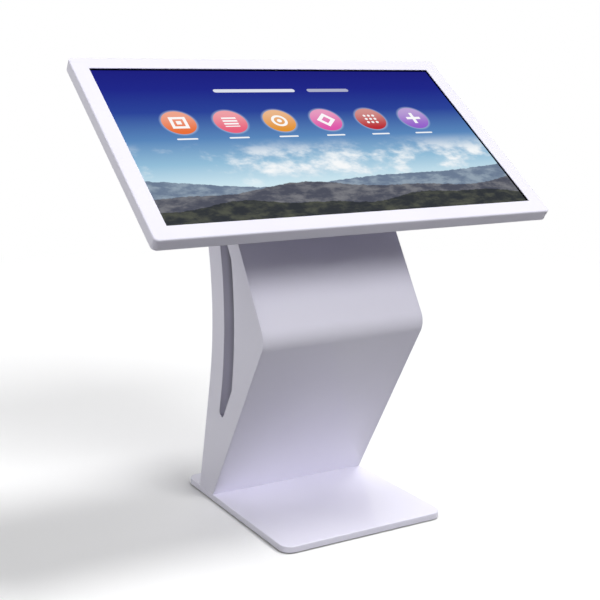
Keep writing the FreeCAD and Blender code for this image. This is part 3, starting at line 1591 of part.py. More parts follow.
def inside(wide, deep, high):
    """A point by its shares of the column's width, of the depth at its foot and of the bay's height."""
    shares = ((wide, "columnWide"), (deep, "spineFootY"), (high, "wedgeBottomZ"))
    return Vector(*(value(f"{share} * {size}") for share, size in shares))


middle_z = value("powerShelfZ + supplyTall / 2")
supply_y = value("supplyMidY")
side = value("supplyWide * 0.92")
cable(
    "mains_cable",
    [
        spot_in(inlet, "0", "-inletDeep", "0"),
        spot_in(inlet, "0", "-2 * inletDeep", "0"),
        inside(0.018, 0.473, 0.115),
        inside(0.041, 0.431, 0.164),
        inside(0.092, 0.351, 0.249),
        inside(0.152, 0.213, 0.335),
        inside(0.207, 0.090, 0.421),
        inside(0.272, -0.021, 0.503),
        Vector(side, value("supplyMidY + 2 * boltRadius"), value("powerShelfZ * 0.898")),
        Vector(side + 2 * value("cableRadius"), supply_y, value("powerShelfZ * 0.964")),
        Vector(side - 2 * value("cableRadius"), supply_y, value("powerShelfZ * 1.025")),
        Vector(0.747 * side, supply_y, middle_z),
        Vector(value("supplyWide / 2"), supply_y, middle_z),
    ],
)
port_z = value("computerLow + computerTall / 2")
plug_height = "driverAlong + driverTall * 0.4"
cable(
    "display_cable",
    [
        Vector(value("computerWide / 2"), value("computerMidY + computerDeep * 0.1"), port_z),
        Vector(value("computerWide * 0.647"), value("computerMidY + computerDeep * 0.1"), port_z),
        inside(0.341, 0.309, 1.060),
        inside(0.369, 0.415, 1.104),
        inside(0.385, 0.489, 1.164),
        spot_in(head, "grommetPlace", "grommetAlong", "-headBack - cableRadius * 6"),
        spot_in(head, "grommetPlace + cableRadius * 1.2", plug_height, "cableRadius * 3.2 - headBack"),
        spot_in(head, "grommetPlace + cableRadius * 8.8", plug_height, "cableRadius * 9.2 - headBack"),
        spot_in(head, "driverPlace - driverWide * 0.67", plug_height, "cableRadius * 7.2 - headBack"),
        spot_in(head, "driverPlace - driverWide * 0.49", plug_height, "cableRadius * 7.2 - headBack"),
    ],
)

# ---------------------------------------------------------------- checks and files
doc.recompute()
for item in doc.Objects:
    if "Invalid" in item.State or "Error" in item.State:
        raise RuntimeError(f"{item.Label} did not build: {item.State}")
os.makedirs("parts", exist_ok=True)
labels = set()
for item in nodes:
    shape = item.Shape
    if shape.isNull() or not shape.isValid() or not shape.Solids:
        raise RuntimeError(item.Label + " has no valid solid")
    if item.Label in labels:
        raise RuntimeError(item.Label + " is there twice")
    labels.add(item.Label)
    shape.exportStep(f"parts/{item.Label}.step")
print(len(nodes), "nodes written")
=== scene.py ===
# Touchscreen kiosk: finishes, small pieces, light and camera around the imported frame.
import json
import math

import bmesh
import bpy
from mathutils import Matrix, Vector


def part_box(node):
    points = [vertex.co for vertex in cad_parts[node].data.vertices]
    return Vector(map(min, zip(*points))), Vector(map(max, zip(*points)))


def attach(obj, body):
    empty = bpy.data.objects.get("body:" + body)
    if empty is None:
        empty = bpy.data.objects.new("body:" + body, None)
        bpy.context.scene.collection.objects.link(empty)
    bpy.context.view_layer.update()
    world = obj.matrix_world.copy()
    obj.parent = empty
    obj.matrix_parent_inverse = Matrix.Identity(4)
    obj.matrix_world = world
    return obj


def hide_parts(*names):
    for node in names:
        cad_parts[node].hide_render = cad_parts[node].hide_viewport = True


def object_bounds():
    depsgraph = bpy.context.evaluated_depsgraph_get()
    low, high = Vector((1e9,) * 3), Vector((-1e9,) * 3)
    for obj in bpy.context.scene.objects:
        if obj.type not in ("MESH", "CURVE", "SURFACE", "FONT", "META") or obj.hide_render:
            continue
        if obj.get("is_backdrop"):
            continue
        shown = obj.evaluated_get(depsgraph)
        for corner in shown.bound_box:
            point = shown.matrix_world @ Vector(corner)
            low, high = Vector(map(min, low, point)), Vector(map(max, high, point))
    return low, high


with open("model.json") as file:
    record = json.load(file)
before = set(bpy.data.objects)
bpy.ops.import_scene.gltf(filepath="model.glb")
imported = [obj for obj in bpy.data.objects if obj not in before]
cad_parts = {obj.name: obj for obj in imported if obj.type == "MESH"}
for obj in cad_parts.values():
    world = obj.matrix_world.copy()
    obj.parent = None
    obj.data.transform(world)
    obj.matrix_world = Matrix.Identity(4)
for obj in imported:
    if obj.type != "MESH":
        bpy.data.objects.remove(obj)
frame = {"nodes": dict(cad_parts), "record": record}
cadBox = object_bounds()
nodes = frame["nodes"]
white, black = (1.0, 1.0, 1.0), (0.0, 0.0, 0.0)
headTilt = math.radians(36)
slopeUp = Vector((0, math.cos(headTilt), math.sin(headTilt)))
outward = Vector((0, -math.sin(headTilt), math.cos(headTilt)))


def upHead(y, z):
    # how far up the head's slope, of numbers or of sockets
    return y * math.cos(headTilt) + z * math.sin(headTilt)


def offHead(y, z):
    # how far out of the head's face
    return z * math.cos(headTilt) - y * math.sin(headTilt)


# node trees, written as plain arithmetic on their sockets
class Link:
    # an output socket that takes part in plain arithmetic
    def __init__(self, tree, socket):
        self.tree, self.socket = tree, socket

    def math(self, operation, *others):
        values = {0: self} | dict(enumerate(others, 1))
        return self.tree.add(self.tree.mathKind, {"operation": operation}, values)

    def __add__(self, other):
        return self.math("ADD", other)

    __radd__ = __add__

    def __mul__(self, other):
        return self.math("MULTIPLY", other)

    __rmul__ = __mul__

    def __sub__(self, other):
        return self.math("SUBTRACT", other)

    def __rsub__(self, other):
        return (self * -1.0).math("ADD", other)

    def __truediv__(self, other):
        return self.math("DIVIDE", other)

    def __neg__(self):
        return self * -1.0

    def __abs__(self):
        return self.math("ABSOLUTE")

    def __lt__(self, other):
        return self.math("LESS_THAN", other)

    def __gt__(self, other):
        return self.math("GREATER_THAN", other)


class Tree:
    mathKind = "ShaderNodeMath"

    def __init__(self, tree):
        self.tree = tree

    def add(self, kind, settings=None, values=None, output=0):
        node = self.tree.nodes.new(kind)
        for name, setting in (settings or {}).items():
            if name == "stops":
                ramp = node.color_ramp
                while len(ramp.elements) < len(setting):
                    ramp.elements.new(0.5)
                for element, (position, colour) in zip(ramp.elements, setting):
                    element.position, element.color = position, (*colour, 1.0)
            elif name == "blend":
                node.color_ramp.interpolation = setting
            else:
                setattr(node, name, setting)
        for name, given in (values or {}).items():
            socket = node.inputs[name]
            if isinstance(given, Link):
                self.tree.links.new(given.socket, socket)
            elif isinstance(given, tuple) and len(given) == 3 and socket.type == "RGBA":
                socket.default_value = (*given, 1.0)
            else:
                socket.default_value = given
        if not node.outputs:
            return node
        return Link(self, node.outputs[output])

    def other(self, link, name):
        # another output of the node that a link comes from
        return Link(self, link.socket.node.outputs[name])

    def axes(self, vector=None):
        split = self.add("ShaderNodeSeparateXYZ", values={0: vector or self.spot})
        return [self.other(split, axis) for axis in ("X", "Y", "Z")]

    def vector(self, x, y, z):
        return self.add("ShaderNodeCombineXYZ", values={0: x, 1: y, 2: z})


class Finish(Tree):
    # one material: every pattern reads object coordinates, in metres
    def __init__(self, name):
        self.material = bpy.data.materials.new(name)
        self.material.use_nodes = True
        super().__init__(self.material.node_tree)
        self.tree.nodes.clear()
        self.spot = self.add("ShaderNodeTexCoord", output="Object")

    def stretch(self, x, y, z):
        # object coordinates with each axis scaled, for grain that runs one way
        values = {0: self.spot, 1: (x, y, z)}
        return self.add("ShaderNodeVectorMath", {"operation": "MULTIPLY"}, values)

    def noise(self, scale, detail=2.0, rough=0.5, spot=None):
        values = {"Vector": spot or self.spot, "Scale": scale, "Detail": detail, "Roughness": rough}
        return self.add("ShaderNodeTexNoise", values=values)

    def cells(self, scale, output="Distance"):
        values = {"Vector": self.spot, "Scale": scale}
        return self.add("ShaderNodeTexVoronoi", {"feature": "F1"}, values, output)

    def ease(self, value, low, high, start=0.0, end=1.0):
        kind = {"interpolation_type": "SMOOTHSTEP"}
        names = ("Value", "From Min", "From Max", "To Min", "To Max")
        values = dict(zip(names, (value, low, high, start, end)))
        return self.add("ShaderNodeMapRange", kind, values)

    def ramp(self, value, stops, blend="LINEAR"):
        return self.add("ShaderNodeValToRGB", {"stops": stops, "blend": blend}, {0: value})

    def mix(self, share, first, second):
        values = {0: share, 6: first, 7: second}
        return self.add("ShaderNodeMix", {"data_type": "RGBA"}, values, output=2)

    def bump(self, height, relief, edge=0.0):
        # relief is a depth in metres and a strength; edges shade as if rolled over by their radius
        deep, strength = relief
        values = {"Height": height, "Distance": deep, "Strength": strength}
        if edge:
            values["Normal"] = self.add("ShaderNodeBevel", {"samples": 6}, {"Radius": edge})
        return self.add("ShaderNodeBump", values=values)

    def done(self, values):
        shader = self.add("ShaderNodeBsdfPrincipled", values=values)
        return self.show(shader)

    def show(self, shader):
        self.add("ShaderNodeOutputMaterial", values={"Surface": shader})
        return self.material


# painted sheet metal
paintLook = {
    "colour": (0.81, 0.795, 0.905),
    "deeper": (0.785, 0.768, 0.885),
    "patches": 2.6,  # broad change of tone, clouds per metre
    "specks": 495.0,
    "speck": (0.6, 0.59, 0.66),
    "speckShare": 0.06,
    "roughness": 0.44,
    "wipes": 7.0,
    "wipeShare": 0.14,
    "shine": 0.12,
    "coat": 0.65,
    "coatRoughness": 0.045,
    "grain": 1100.0,  # orange peel of the powder coat, cells per metre
    "relief": (0.00003, 0.35),
    "edge": 0.0011,
    # painted shade in the side recesses: its colour, then the depths below the side plate where it starts
    # and where it is full
    "hollow": (0.2, 0.195, 0.215),
    "hollowStart": 0.008,  # depth below the side plate, metres
    "hollowEnd": 0.03,
}


def paint(name, look, hollow=0.0):
    finish = Finish(name)
    broad = finish.ease(finish.noise(look["patches"], 3.0, 0.55), 0.35, 0.65)
    specks = finish.noise(look["specks"], 1.0)
    tone = finish.mix(broad, look["colour"], look["deeper"])
    tone = finish.mix(finish.ease(specks, 0.62, 0.78) * look["speckShare"], tone, look["speck"])
    if hollow:
        # the long recess in each side: painted shade, darker deep down and towards the top under the head
        low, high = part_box("recess_liner_right")
        x, _, z = finish.axes()
        deep = finish.ease(-abs(x) + high[0], look["hollowStart"], look["hollowEnd"])
        shade = finish.ease(z, low[2], high[2], 0.5, 1.0)
        tone = finish.mix(deep * shade * hollow, tone, look["hollow"])
    wiped = finish.noise(look["wipes"], 4.0, 0.6, finish.stretch(1.0, 0.4, 0.4))
    peel = finish.noise(look["grain"], 2.0, 0.55)
    return finish.done({
        "Base Color": tone,
        "Roughness": look["roughness"] + (wiped - 0.5) * look["wipeShare"],
        "Specular IOR Level": look["shine"],
        "Coat Weight": look["coat"],
        "Coat Roughness": look["coatRoughness"],
        "Coat IOR": 1.5,
        "Normal": finish.bump(peel, look["relief"], look["edge"]),
    })


# metals: galvanised sheet, primed steel, plated and turned parts
zincLook = {
    "light": (0.56, 0.57, 0.59),
    "dark": (0.4, 0.41, 0.43),
    "spangle": 85.0,  # zinc crystals per metre
    "scratch": 420.0,
    "relief": (0.00004, 0.3),
    "edge": 0.0006,
}


def zinc(name, look):
    finish = Finish(name)
    crystals = finish.cells(look["spangle"], "Color")
    shade, _, turn = finish.axes(crystals)
    streak = finish.noise(look["scratch"], 3.0, 0.6, finish.stretch(1.0, 0.12, 0.12))
    return finish.done({
        "Base Color": finish.mix(shade * 0.8 + streak * 0.2, look["dark"], look["light"]),
        "Metallic": 0.9,
        "Roughness": 0.3 + turn * 0.22 + (streak - 0.5) * 0.1,
        "Normal": finish.bump(streak, look["relief"], look["edge"]),
    })


steelLook = {
    "colour": (0.19, 0.2, 0.21),
    "worn": (0.33, 0.33, 0.34),
    "mottle": 38.0,
    "grain": 700.0,
    "relief": (0.00008, 0.45),
    "edge": 0.0008,
}


def frameSteel(name, look):
    # black hot-rolled tube and plate under a thin grey primer
    finish = Finish(name)
    mottle = finish.noise(look["mottle"], 5.0, 0.62)
    grain = finish.noise(look["grain"], 3.0, 0.6)
    return finish.done({
        "Base Color": finish.mix(finish.ease(mottle, 0.42, 0.7), look["colour"], look["worn"]),
        "Metallic": 0.35,
        "Roughness": 0.55 + (grain - 0.5) * 0.25,
        "Normal": finish.bump(grain, look["relief"], look["edge"]),
    })


platedLook = {
    "bright": (0.62, 0.62, 0.64),
    "dull": (0.44, 0.45, 0.47),
    "clouds": 240.0,
    "roughness": 0.24,
    "turned": 2600.0,  # turning lines per metre
    "relief": (0.00002, 0.4),
    "edge": 0.0003,
}
leafLook = {
    **platedLook,
    "bright": (0.56, 0.56, 0.575),
    "dull": (0.44, 0.445, 0.46),
    "roughness": 0.33,
    "turned": 1500.0,
}
chromeLook = {
    **platedLook,
    "bright": (0.6, 0.61, 0.63),
    "dull": (0.48, 0.49, 0.51),
    "roughness": 0.14,
    "turned": 1800.0,
}


def plated(name, look):
    finish = Finish(name)
    cloud = finish.noise(look["clouds"], 3.0)
    lines = finish.noise(look["turned"], 2.0, 0.5, finish.stretch(0.2, 1.0, 0.2))
    return finish.done({
        "Base Color": finish.mix(cloud, look["dull"], look["bright"]),
        "Metallic": 1.0,
        "Roughness": look["roughness"] + (cloud - 0.5) * 0.2,
        "Normal": finish.bump(lines, look["relief"], look["edge"]),
    })


# moulded plastic, rubber and foam
plasticLook = {
    "colour": (0.022, 0.022, 0.024),
    "rubbed": (0.05, 0.05, 0.053),
    "rubs": 18.0,
    "grain": 1500.0,
    "relief": (0.00006, 0.5),
    "roughness": 0.48,
    "edge": 0.0005,
}
rubberLook = {
    **plasticLook,
    "colour": (0.018, 0.018, 0.019),
    "rubbed": (0.07, 0.069, 0.066),
    "grain": 900.0,
    "relief": (0.00009, 0.5),
    "roughness": 0.78,
}
cableLook = {
    **plasticLook,
    "colour": (0.014, 0.014, 0.015),
    "rubbed": (0.03, 0.03, 0.031),
    "grain": 1300.0,
    "relief": (0.00003, 0.5),
    "roughness": 0.4,
}
caseLook = {
    **plasticLook,
    "colour": (0.33, 0.34, 0.35),
    "rubbed": (0.4, 0.41, 0.42),
    "grain": 1200.0,
    "relief": (0.00004, 0.5),
    "roughness": 0.5,
}
# the mains inlet, with the room in its socket that only the pins fill, from the mouth inwards
inletLook = {
    **plasticLook,
    "pin": (0.56, 0.54, 0.5),
    "pinsAside": 0.0085,
    "pinsUp": 0.0055,
    "pinsDeep": 0.0203,
}


def inletPins(finish):
    mouth = next(mount for mount in frame["record"]["mounts"] if mount["name"] == "mains_inlet")
    (_, y, z), (_, back, up) = mouth["pos_m"], mouth["axis"]
    aside, along, high = finish.axes()
    outwards = (along - y) * back + (high - z) * up
    upwards = (high - z) * back - (along - y) * up
    inside = (abs(aside) < inletLook["pinsAside"]) * (abs(upwards) < inletLook["pinsUp"])
    return inside * (outwards > -inletLook["pinsDeep"])


def moulded(name, look, pins=None):
    # spark-eroded texture, rubbed smooth in places, with bare pins where it has any
    finish = Finish(name)
    pits = finish.cells(look["grain"])
    rubbed = finish.ease(finish.noise(look["rubs"], 4.0, 0.6), 0.48, 0.72)
    values = {
        "Base Color": finish.mix(rubbed, look["colour"], look["rubbed"]),
        "Roughness": look["roughness"] - rubbed * 0.12 + (pits - 0.4) * 0.1,
        "Normal": finish.bump(pits, look["relief"], look["edge"]),
    }
    if pins:
        bare = pins(finish)
        values["Metallic"] = bare
        values["Base Color"] = finish.mix(bare, values["Base Color"], look["pin"])
        values["Roughness"] = values["Roughness"] - bare * 0.2
    return finish.done(values)


foamLook = {
    "pore": (0.006, 0.006, 0.006),
    "wall": (0.03, 0.03, 0.031),
    "fine": 900.0,
    "coarse": 420.0,
    "relief": (0.0004, 0.8),
}


def foam(name, look):
    finish = Finish(name)
    pores = finish.cells(look["fine"])
    coarse = finish.cells(look["coarse"])
    return finish.done({
        "Base Color": finish.mix(pores * 1.4, look["pore"], look["wall"]),
        "Roughness": 0.9 - coarse * 0.1,
        "Normal": finish.bump(pores * 0.6 + coarse, look["relief"]),
    })


# wire gauze behind the vents
gauzeLook = {
    "pitch": 0.0016,
    "wire": 0.42,  # share of the pitch
    "relief": (0.0003, 0.8),
    "colour": (0.045, 0.046, 0.05),
    "worn": (0.11, 0.11, 0.12),
    "wear": 160.0,
}


def gauze(name, look):
    # woven wire: the gaps between the wires are clear
    finish = Finish(name)
    _, y, z = finish.axes()
    across = (y / look["pitch"]).math("FRACT")
    along = (z / look["pitch"]).math("FRACT")
    onWire = (across < look["wire"]).math("MAXIMUM", along < look["wire"])
    bend = math.pi / look["wire"]
    crown = (across * bend).math("SINE").math("MAXIMUM", (along * bend).math("SINE"))
    shade = finish.noise(look["wear"], 3.0)
    return finish.done({
        "Base Color": finish.mix(shade, look["colour"], look["worn"]),
        "Metallic": 0.6,
        "Roughness": 0.42 + shade * 0.2,
        "Alpha": onWire,
        "Normal": finish.bump(crown, look["relief"]),
    })


# circuit boards: traces that run across or up in patches, and pads between them
boardLook = {
    "mask": (0.012, 0.09, 0.035),
    "trace": (0.03, 0.16, 0.06),
    "pad": (0.6, 0.52, 0.3),
    "pitch": 0.0021,
    "traceWide": 0.4,  # share of the pitch
    "sway": 3.0,  # pitches that a trace wanders
    "swayAcross": 60.0,
    "swayUp": 45.0,
    "patches": 26.0,  # of traces that all run one way
    "padCells": 190.0,  # cells per metre, with a pad in the middle of some
    "padWide": 0.16,
    "padPatches": 34.0,
    "padsAbove": 0.44,
    "relief": (0.00005, 0.5),
    "edge": 0.0003,
}


def board(name, look):
    finish = Finish(name)
    x, y, z = finish.axes()
    swayX, swayY = (finish.noise(look[way], 1.0) * look["sway"] for way in ("swayAcross", "swayUp"))
    across = (x / look["pitch"] + swayX).math("FRACT") < look["traceWide"]
    upward = (upHead(y, z) / look["pitch"] + swayY).math("FRACT") < look["traceWide"]
    runsUp = finish.noise(look["patches"], 0.0) > 0.5
    lines = across * runsUp + upward * (1.0 - runsUp)
    padPatch = finish.noise(look["padPatches"], 1.0) > look["padsAbove"]
    pads = (finish.cells(look["padCells"]) < look["padWide"]) * padPatch
    tone = finish.mix(lines, look["mask"], look["trace"])
    return finish.done({
        "Base Color": finish.mix(pads, tone, look["pad"]),
        "Metallic": pads * 0.9,
        "Roughness": 0.36 - pads * 0.1,
        "Coat Weight": 0.4,
        "Normal": finish.bump(lines * 0.5 + pads, look["relief"], look["edge"]),
    })


# picture on the display: sky, cloud bank, hills, a row of round buttons
pictureLook = {
    "wide": 0.9412,
    "tall": 0.5294,
    "border": 0.011,  # of the display, outside the picture
    "thick": 0.011,
    "unlit": ((0.003, 0.003, 0.0035), (0.007, 0.007, 0.008)),
    "weave": 900.0,
    "sky": [
        (0.0, (0.78, 0.88, 0.93)),
        (0.22, (0.62, 0.8, 0.88)),
        (0.36, (0.3, 0.52, 0.7)),
        (0.52, (0.1, 0.24, 0.5)),
        (0.7, (0.022, 0.055, 0.32)),
        (0.86, (0.011, 0.018, 0.25)),
        (1.0, (0.009, 0.011, 0.21)),
    ],
    "cloud": ((0.62, 0.74, 0.84), (0.95, 0.96, 0.97)),
    "drifts": 5.5,  # clouds per metre, and the heaps in them
    "billows": 17.0,
    "billowShare": 0.35,
    "thinnest": -0.12,  # metres from the middle
    "bankIn": (0.16, 0.3),  # shares of the height where the bank begins, and where it ends
    "bankOut": (0.36, 0.52),
    "cloudEdge": (0.52, 0.66),
    # height, swing and waves per metre of each ridge, its shaded and its lit colour
    "ridges": [
        (0.128, 0.018, 5.2, (0.15, 0.2, 0.29), (0.3, 0.37, 0.45)),
        (0.096, 0.015, 8.6, (0.075, 0.08, 0.11), (0.2, 0.2, 0.22)),
        (0.052, 0.011, 12.0, (0.03, 0.034, 0.04), (0.085, 0.09, 0.07)),
    ],
    "ridgeEdge": 0.0012,
    "crags": 60.0,
    "cragTall": 0.012,
    "slopes": 42.0,
    "buttons": [
        (0.83, 0.16, 0.035),
        (0.83, 0.12, 0.2),
        (0.78, 0.3, 0.03),
        (0.75, 0.09, 0.4),
        (0.5, 0.02, 0.03),
        (0.3, 0.12, 0.6),
    ],
    "buttonHigh": 0.63,  # share of the picture's height, as barHigh
    "buttonPitch": 0.128,
    "buttonRadius": 0.041,
    "buttonEdge": 0.0006,
    "shine": (1.0, 0.93, 0.86),
    "shineShare": 0.3,
    "glow": (0.75, 0.85, 0.95),
    "glowShare": 0.3,
    "glowWide": 0.007,
    "signShare": 0.5,  # of the button's radius
    "signStrength": 0.95,
    "labelDrop": 0.017,
    "labelShare": 0.62,
    "labelTall": 0.0026,
    "labelStrength": 0.9,
    "pillEdge": 0.0003,
    "bar": (0.92, 0.94, 1.0),
    "barHigh": 0.85,
    "barTall": 0.0062,
    # middle, half length and strength of each bar
    "bars": [(-0.08, 0.11, 0.8), (0.125, 0.06, 0.45)],
}


def landscape(finish, x, up, look):
    share = up / look["tall"]
    sky = finish.ramp(share, look["sky"])

    # cloud bank low over the hills, thinnest a little to one side
    drift = finish.noise(look["drifts"], 5.0, 0.58, finish.stretch(0.55, 1.0, 1.0))
    billow = finish.noise(look["billows"], 4.0, 0.6, finish.stretch(0.8, 1.0, 1.0))
    bank = finish.ease(share, *look["bankIn"]) * finish.ease(share, *look["bankOut"], 1.0, 0.0)
    aside = finish.ease(abs(x - look["thinnest"]), 0.0, 0.5)
    heap = drift + (billow - 0.5) * look["billowShare"] + aside * 0.1
    cloud = finish.ease(heap, *look["cloudEdge"]) * bank
    sky = finish.mix(cloud, sky, finish.mix(finish.ease(billow, 0.3, 0.6), *look["cloud"]))

    # three ridges, the nearest one darkest
    for height, swing, roll, tone, lit in look["ridges"]:
        wave = (x * roll + height * 90.0).math("SINE") * swing
        wave = wave + (x * (roll * 2.3) + height * 300.0).math("SINE") * (swing * 0.4)
        rough = (finish.noise(look["crags"], 4.0, 0.6) - 0.5) * look["cragTall"]
        edge = look["ridgeEdge"]
        ridge = finish.ease(up - wave - rough, height - edge, height + edge, 1.0, 0.0)
        slope = finish.noise(look["slopes"], 5.0, 0.62, finish.stretch(0.5, 1.0, 1.0))
        sky = finish.mix(ridge, sky, finish.mix(finish.ease(slope, 0.4, 0.68), tone, lit))
    return sky


def signOf(number, p, q, size):
    # one plain sign for each button, picked by the button's number and drawn in shares of size
    away = (p * p + q * q).math("SQRT")
    square = abs(p).math("MAXIMUM", abs(q))
    slant = abs(p) + abs(q)
    lines = (q / (size * 0.5)).math("FRACT") < 0.55
    dotX = (p / (size * 0.62) + 0.5).math("FRACT") - 0.5
    dotY = (q / (size * 0.62) + 0.5).math("FRACT") - 0.5
    shapes = [
        (square < size) * (square > size * 0.62) + (square < size * 0.3),
        lines * (square < size * 0.9),
        (away < size) * (away > size * 0.66) + (away < size * 0.3),
        (slant < size * 1.25) * (slant > size * 0.62),
        (dotX * dotX + dotY * dotY < 0.1) * (square < size * 0.93),
        (abs(p) < size * 0.22).math("MAXIMUM", abs(q) < size * 0.22) * (square < size),
    ]
    signs = [(abs(number - float(i)) < 0.5) * shape for i, shape in enumerate(shapes)]
    return sum(signs[1:], signs[0]).math("MINIMUM", 1.0)


def pill(finish, off, lift, halfLong, halfTall, strength):
    # a bar with round ends, from the distances to its middle
    past = (abs(off) - (halfLong - halfTall)).math("MAXIMUM", 0.0)
    reach = (past * past + lift * lift).math("SQRT")
    edge = pictureLook["pillEdge"]
    return finish.ease(reach, halfTall - edge, halfTall + edge, strength, 0.0)


def menu(finish, sky, x, up, look):
    # the buttons stand in equal cells, with plain bars where words would be
    count, radius = len(look["buttons"]), look["buttonRadius"]
    cell = x / look["buttonPitch"] + count / 2
    number = cell.math("FLOOR")
    p = (cell - number - 0.5) * look["buttonPitch"]
    q = up - look["buttonHigh"] * look["tall"]
    inRow = (number > -0.5) * (number < count - 0.5)
    away = (p * p + q * q).math("SQRT")
    stops = [((i + 0.001) / count, colour) for i, colour in enumerate(look["buttons"])]
    stops[0] = (0.0, look["buttons"][0])
    fill = finish.ramp((number + 0.5) / count, stops, "CONSTANT")
    fill = finish.mix(finish.ease(q, -radius, radius) * look["shineShare"], fill, look["shine"])
    edge = look["buttonEdge"]
    disc = finish.ease(away, radius - edge, radius + edge, 1.0, 0.0) * inRow
    glow = finish.ease(away, radius, radius + look["glowWide"], look["glowShare"], 0.0) * inRow
    sky = finish.mix(glow, sky, look["glow"])
    sky = finish.mix(disc, sky, fill)
    sign = signOf(number, p, q, radius * look["signShare"])
    sky = finish.mix(disc * sign * look["signStrength"], sky, white)
    drop, halfLong = q + radius + look["labelDrop"], radius * look["labelShare"]
    label = pill(finish, p, drop, halfLong, look["labelTall"], look["labelStrength"])
    sky = finish.mix(label * inRow, sky, white)
    for middle, halfLong, strength in look["bars"]:
        lift = up - look["barHigh"] * look["tall"]
        bar = pill(finish, x - middle, lift, halfLong, look["barTall"], strength)
        sky = finish.mix(bar, sky, look["bar"])
    return sky


def picture(name, look):
    finish = Finish(name)
    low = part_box("lcd_panel")[0]
    startY, startZ = low[1], low[2] + look["thick"] * math.cos(headTilt)
    start = upHead(startY, startZ) + look["border"]
    x, y, z = finish.axes()
    up = upHead(y, z) - start  # metres up the picture
    sky = menu(finish, landscape(finish, x, up, look), x, up, look)

    # lit on the front face only
    face = offHead(low[1], low[2]) + look["thick"] * math.cos(headTilt) ** 2
    front = offHead(y, z) > face - look["thick"] / 2
    inside = (up > 0.0) * (up < look["tall"]) * (abs(x) < look["wide"] / 2) * front
    lines = finish.noise(look["weave"], 1.0)
    return finish.done({
        "Base Color": finish.mix(lines, *look["unlit"]),
        "Roughness": 0.5 + (lines - 0.5) * 0.1,
        "Specular IOR Level": 0.0,
        "Emission Color": finish.mix(inside, black, sky),
        "Emission Strength": 1.0,
    })


glassLook = {
    "tint": (0.985, 0.99, 0.99),
    "mirror": (0.9, 0.92, 0.93),
    "ior": 1.5,
    "coating": 1.2,
    "clearBelow": 0.0102,
    "roughness": 0.015,
    "smears": 9.0,
    "smearShare": 0.05,
}


def clearGlass(name, look):
    # thin cover glass: clear straight through, mirror-like at a glance
    finish = Finish(name)
    smear = finish.ease(finish.noise(look["smears"], 4.0, 0.6), 0.5, 0.75)
    # only the front face mirrors: it lies above the plane halfway through the glass
    low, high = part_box("touch_glass")
    middle = offHead((low[1] + high[1]) / 2, (low[2] + high[2]) / 2)
    _, y, z = finish.axes()
    front = offHead(y, z) > middle
    # squared and cut off low down, as a coating does: clear straight on, bright along the surface
    fresnel = finish.add("ShaderNodeFresnel", values={"IOR": look["ior"]})
    gloss = (fresnel * fresnel - look["clearBelow"]) * look["coating"]
    facing = gloss.math("MAXIMUM", 0.0).math("MINIMUM", 1.0) * front
    clear = finish.add("ShaderNodeBsdfTransparent", values={"Color": look["tint"]})
    sheen = finish.add("ShaderNodeBsdfPrincipled", values={
        "Base Color": look["mirror"],
        "Metallic": 1.0,
        "Roughness": look["roughness"] + smear * look["smearShare"],
    })
    return finish.show(finish.add("ShaderNodeMixShader", values={0: facing, 1: clear, 2: sheen}))


# which finish goes on which slot
finishes = {
    "white_paint": paint("satinPaint", paintLook),
    "screen_glass": clearGlass("coverGlass", glassLook),
    "display_black": picture("litDisplay", pictureLook),
    "gasket_foam": foam("gasketFoam", foamLook),
    "zinc_sheet": zinc("zincSheet", zincLook),
    "frame_steel": frameSteel("primedSteel", steelLook),
    "fastener_steel": plated("platedScrews", platedLook),
    "lock_chrome": plated("lockChrome", chromeLook),
    "mesh_black": gauze("wireGauze", gauzeLook),
    "board_green": board("circuitBoard", boardLook),
    "black_plastic": moulded("mouldedPlastic", plasticLook),
    "case_grey": moulded("greyCase", caseLook),
    "soft_rubber": moulded("softRubber", rubberLook),
    "cable_black": moulded("cableSheath", cableLook),
}
# the paint with painted shade deep in the side recesses and under the head
recessPaint = paint("recessPaint", paintLook, hollow=0.95)
leafSteel = plated("leafSteel", leafLook)
inletPlastic = moulded("inletPlastic", inletLook, pins=inletPins)
for name, node in nodes.items():
    for materialSlot in node.material_slots:
        materialSlot.material = finishes[materialSlot.material.name]
    # the recess liners take the paint with painted shade
    if name.startswith("recess_liner"):
        node.material_slots[0].material = recessPaint
    elif name.startswith("hinge_leaf"):
        node.material_slots[0].material = leafSteel
    elif name == "power_inlet":
        node.material_slots[0].material = inletPlastic
slots = sum(len(node.material_slots) for node in nodes.values())
print("finishes:", len(finishes), "on", slots, "slots")


# small tools for pieces
def piece(name, mesh, body, slotName, *replaced):
    shown = bpy.data.objects.new(name, mesh)
    bpy.context.collection.objects.link(shown)
    shown.data.materials.clear()
    shown.data.materials.append(finishes[slotName])
    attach(shown, body)
    if replaced:
        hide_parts(*replaced)
    return shown


def fromBmesh(name, built):
    bmesh.ops.recalc_face_normals(built, faces=built.faces)
    mesh = bpy.data.meshes.new(name)
    built.to_mesh(mesh)
    built.free()
    return mesh


def baked(shown):
    # modifiers worked into a plain mesh
    graph = bpy.context.evaluated_depsgraph_get()
    mesh = bpy.data.meshes.new_from_object(shown.evaluated_get(graph))
    shown.modifiers.clear()
    shown.data = mesh
    return shown


smoothBelow = 0.6  # edges that turn less than this shade smooth, radians


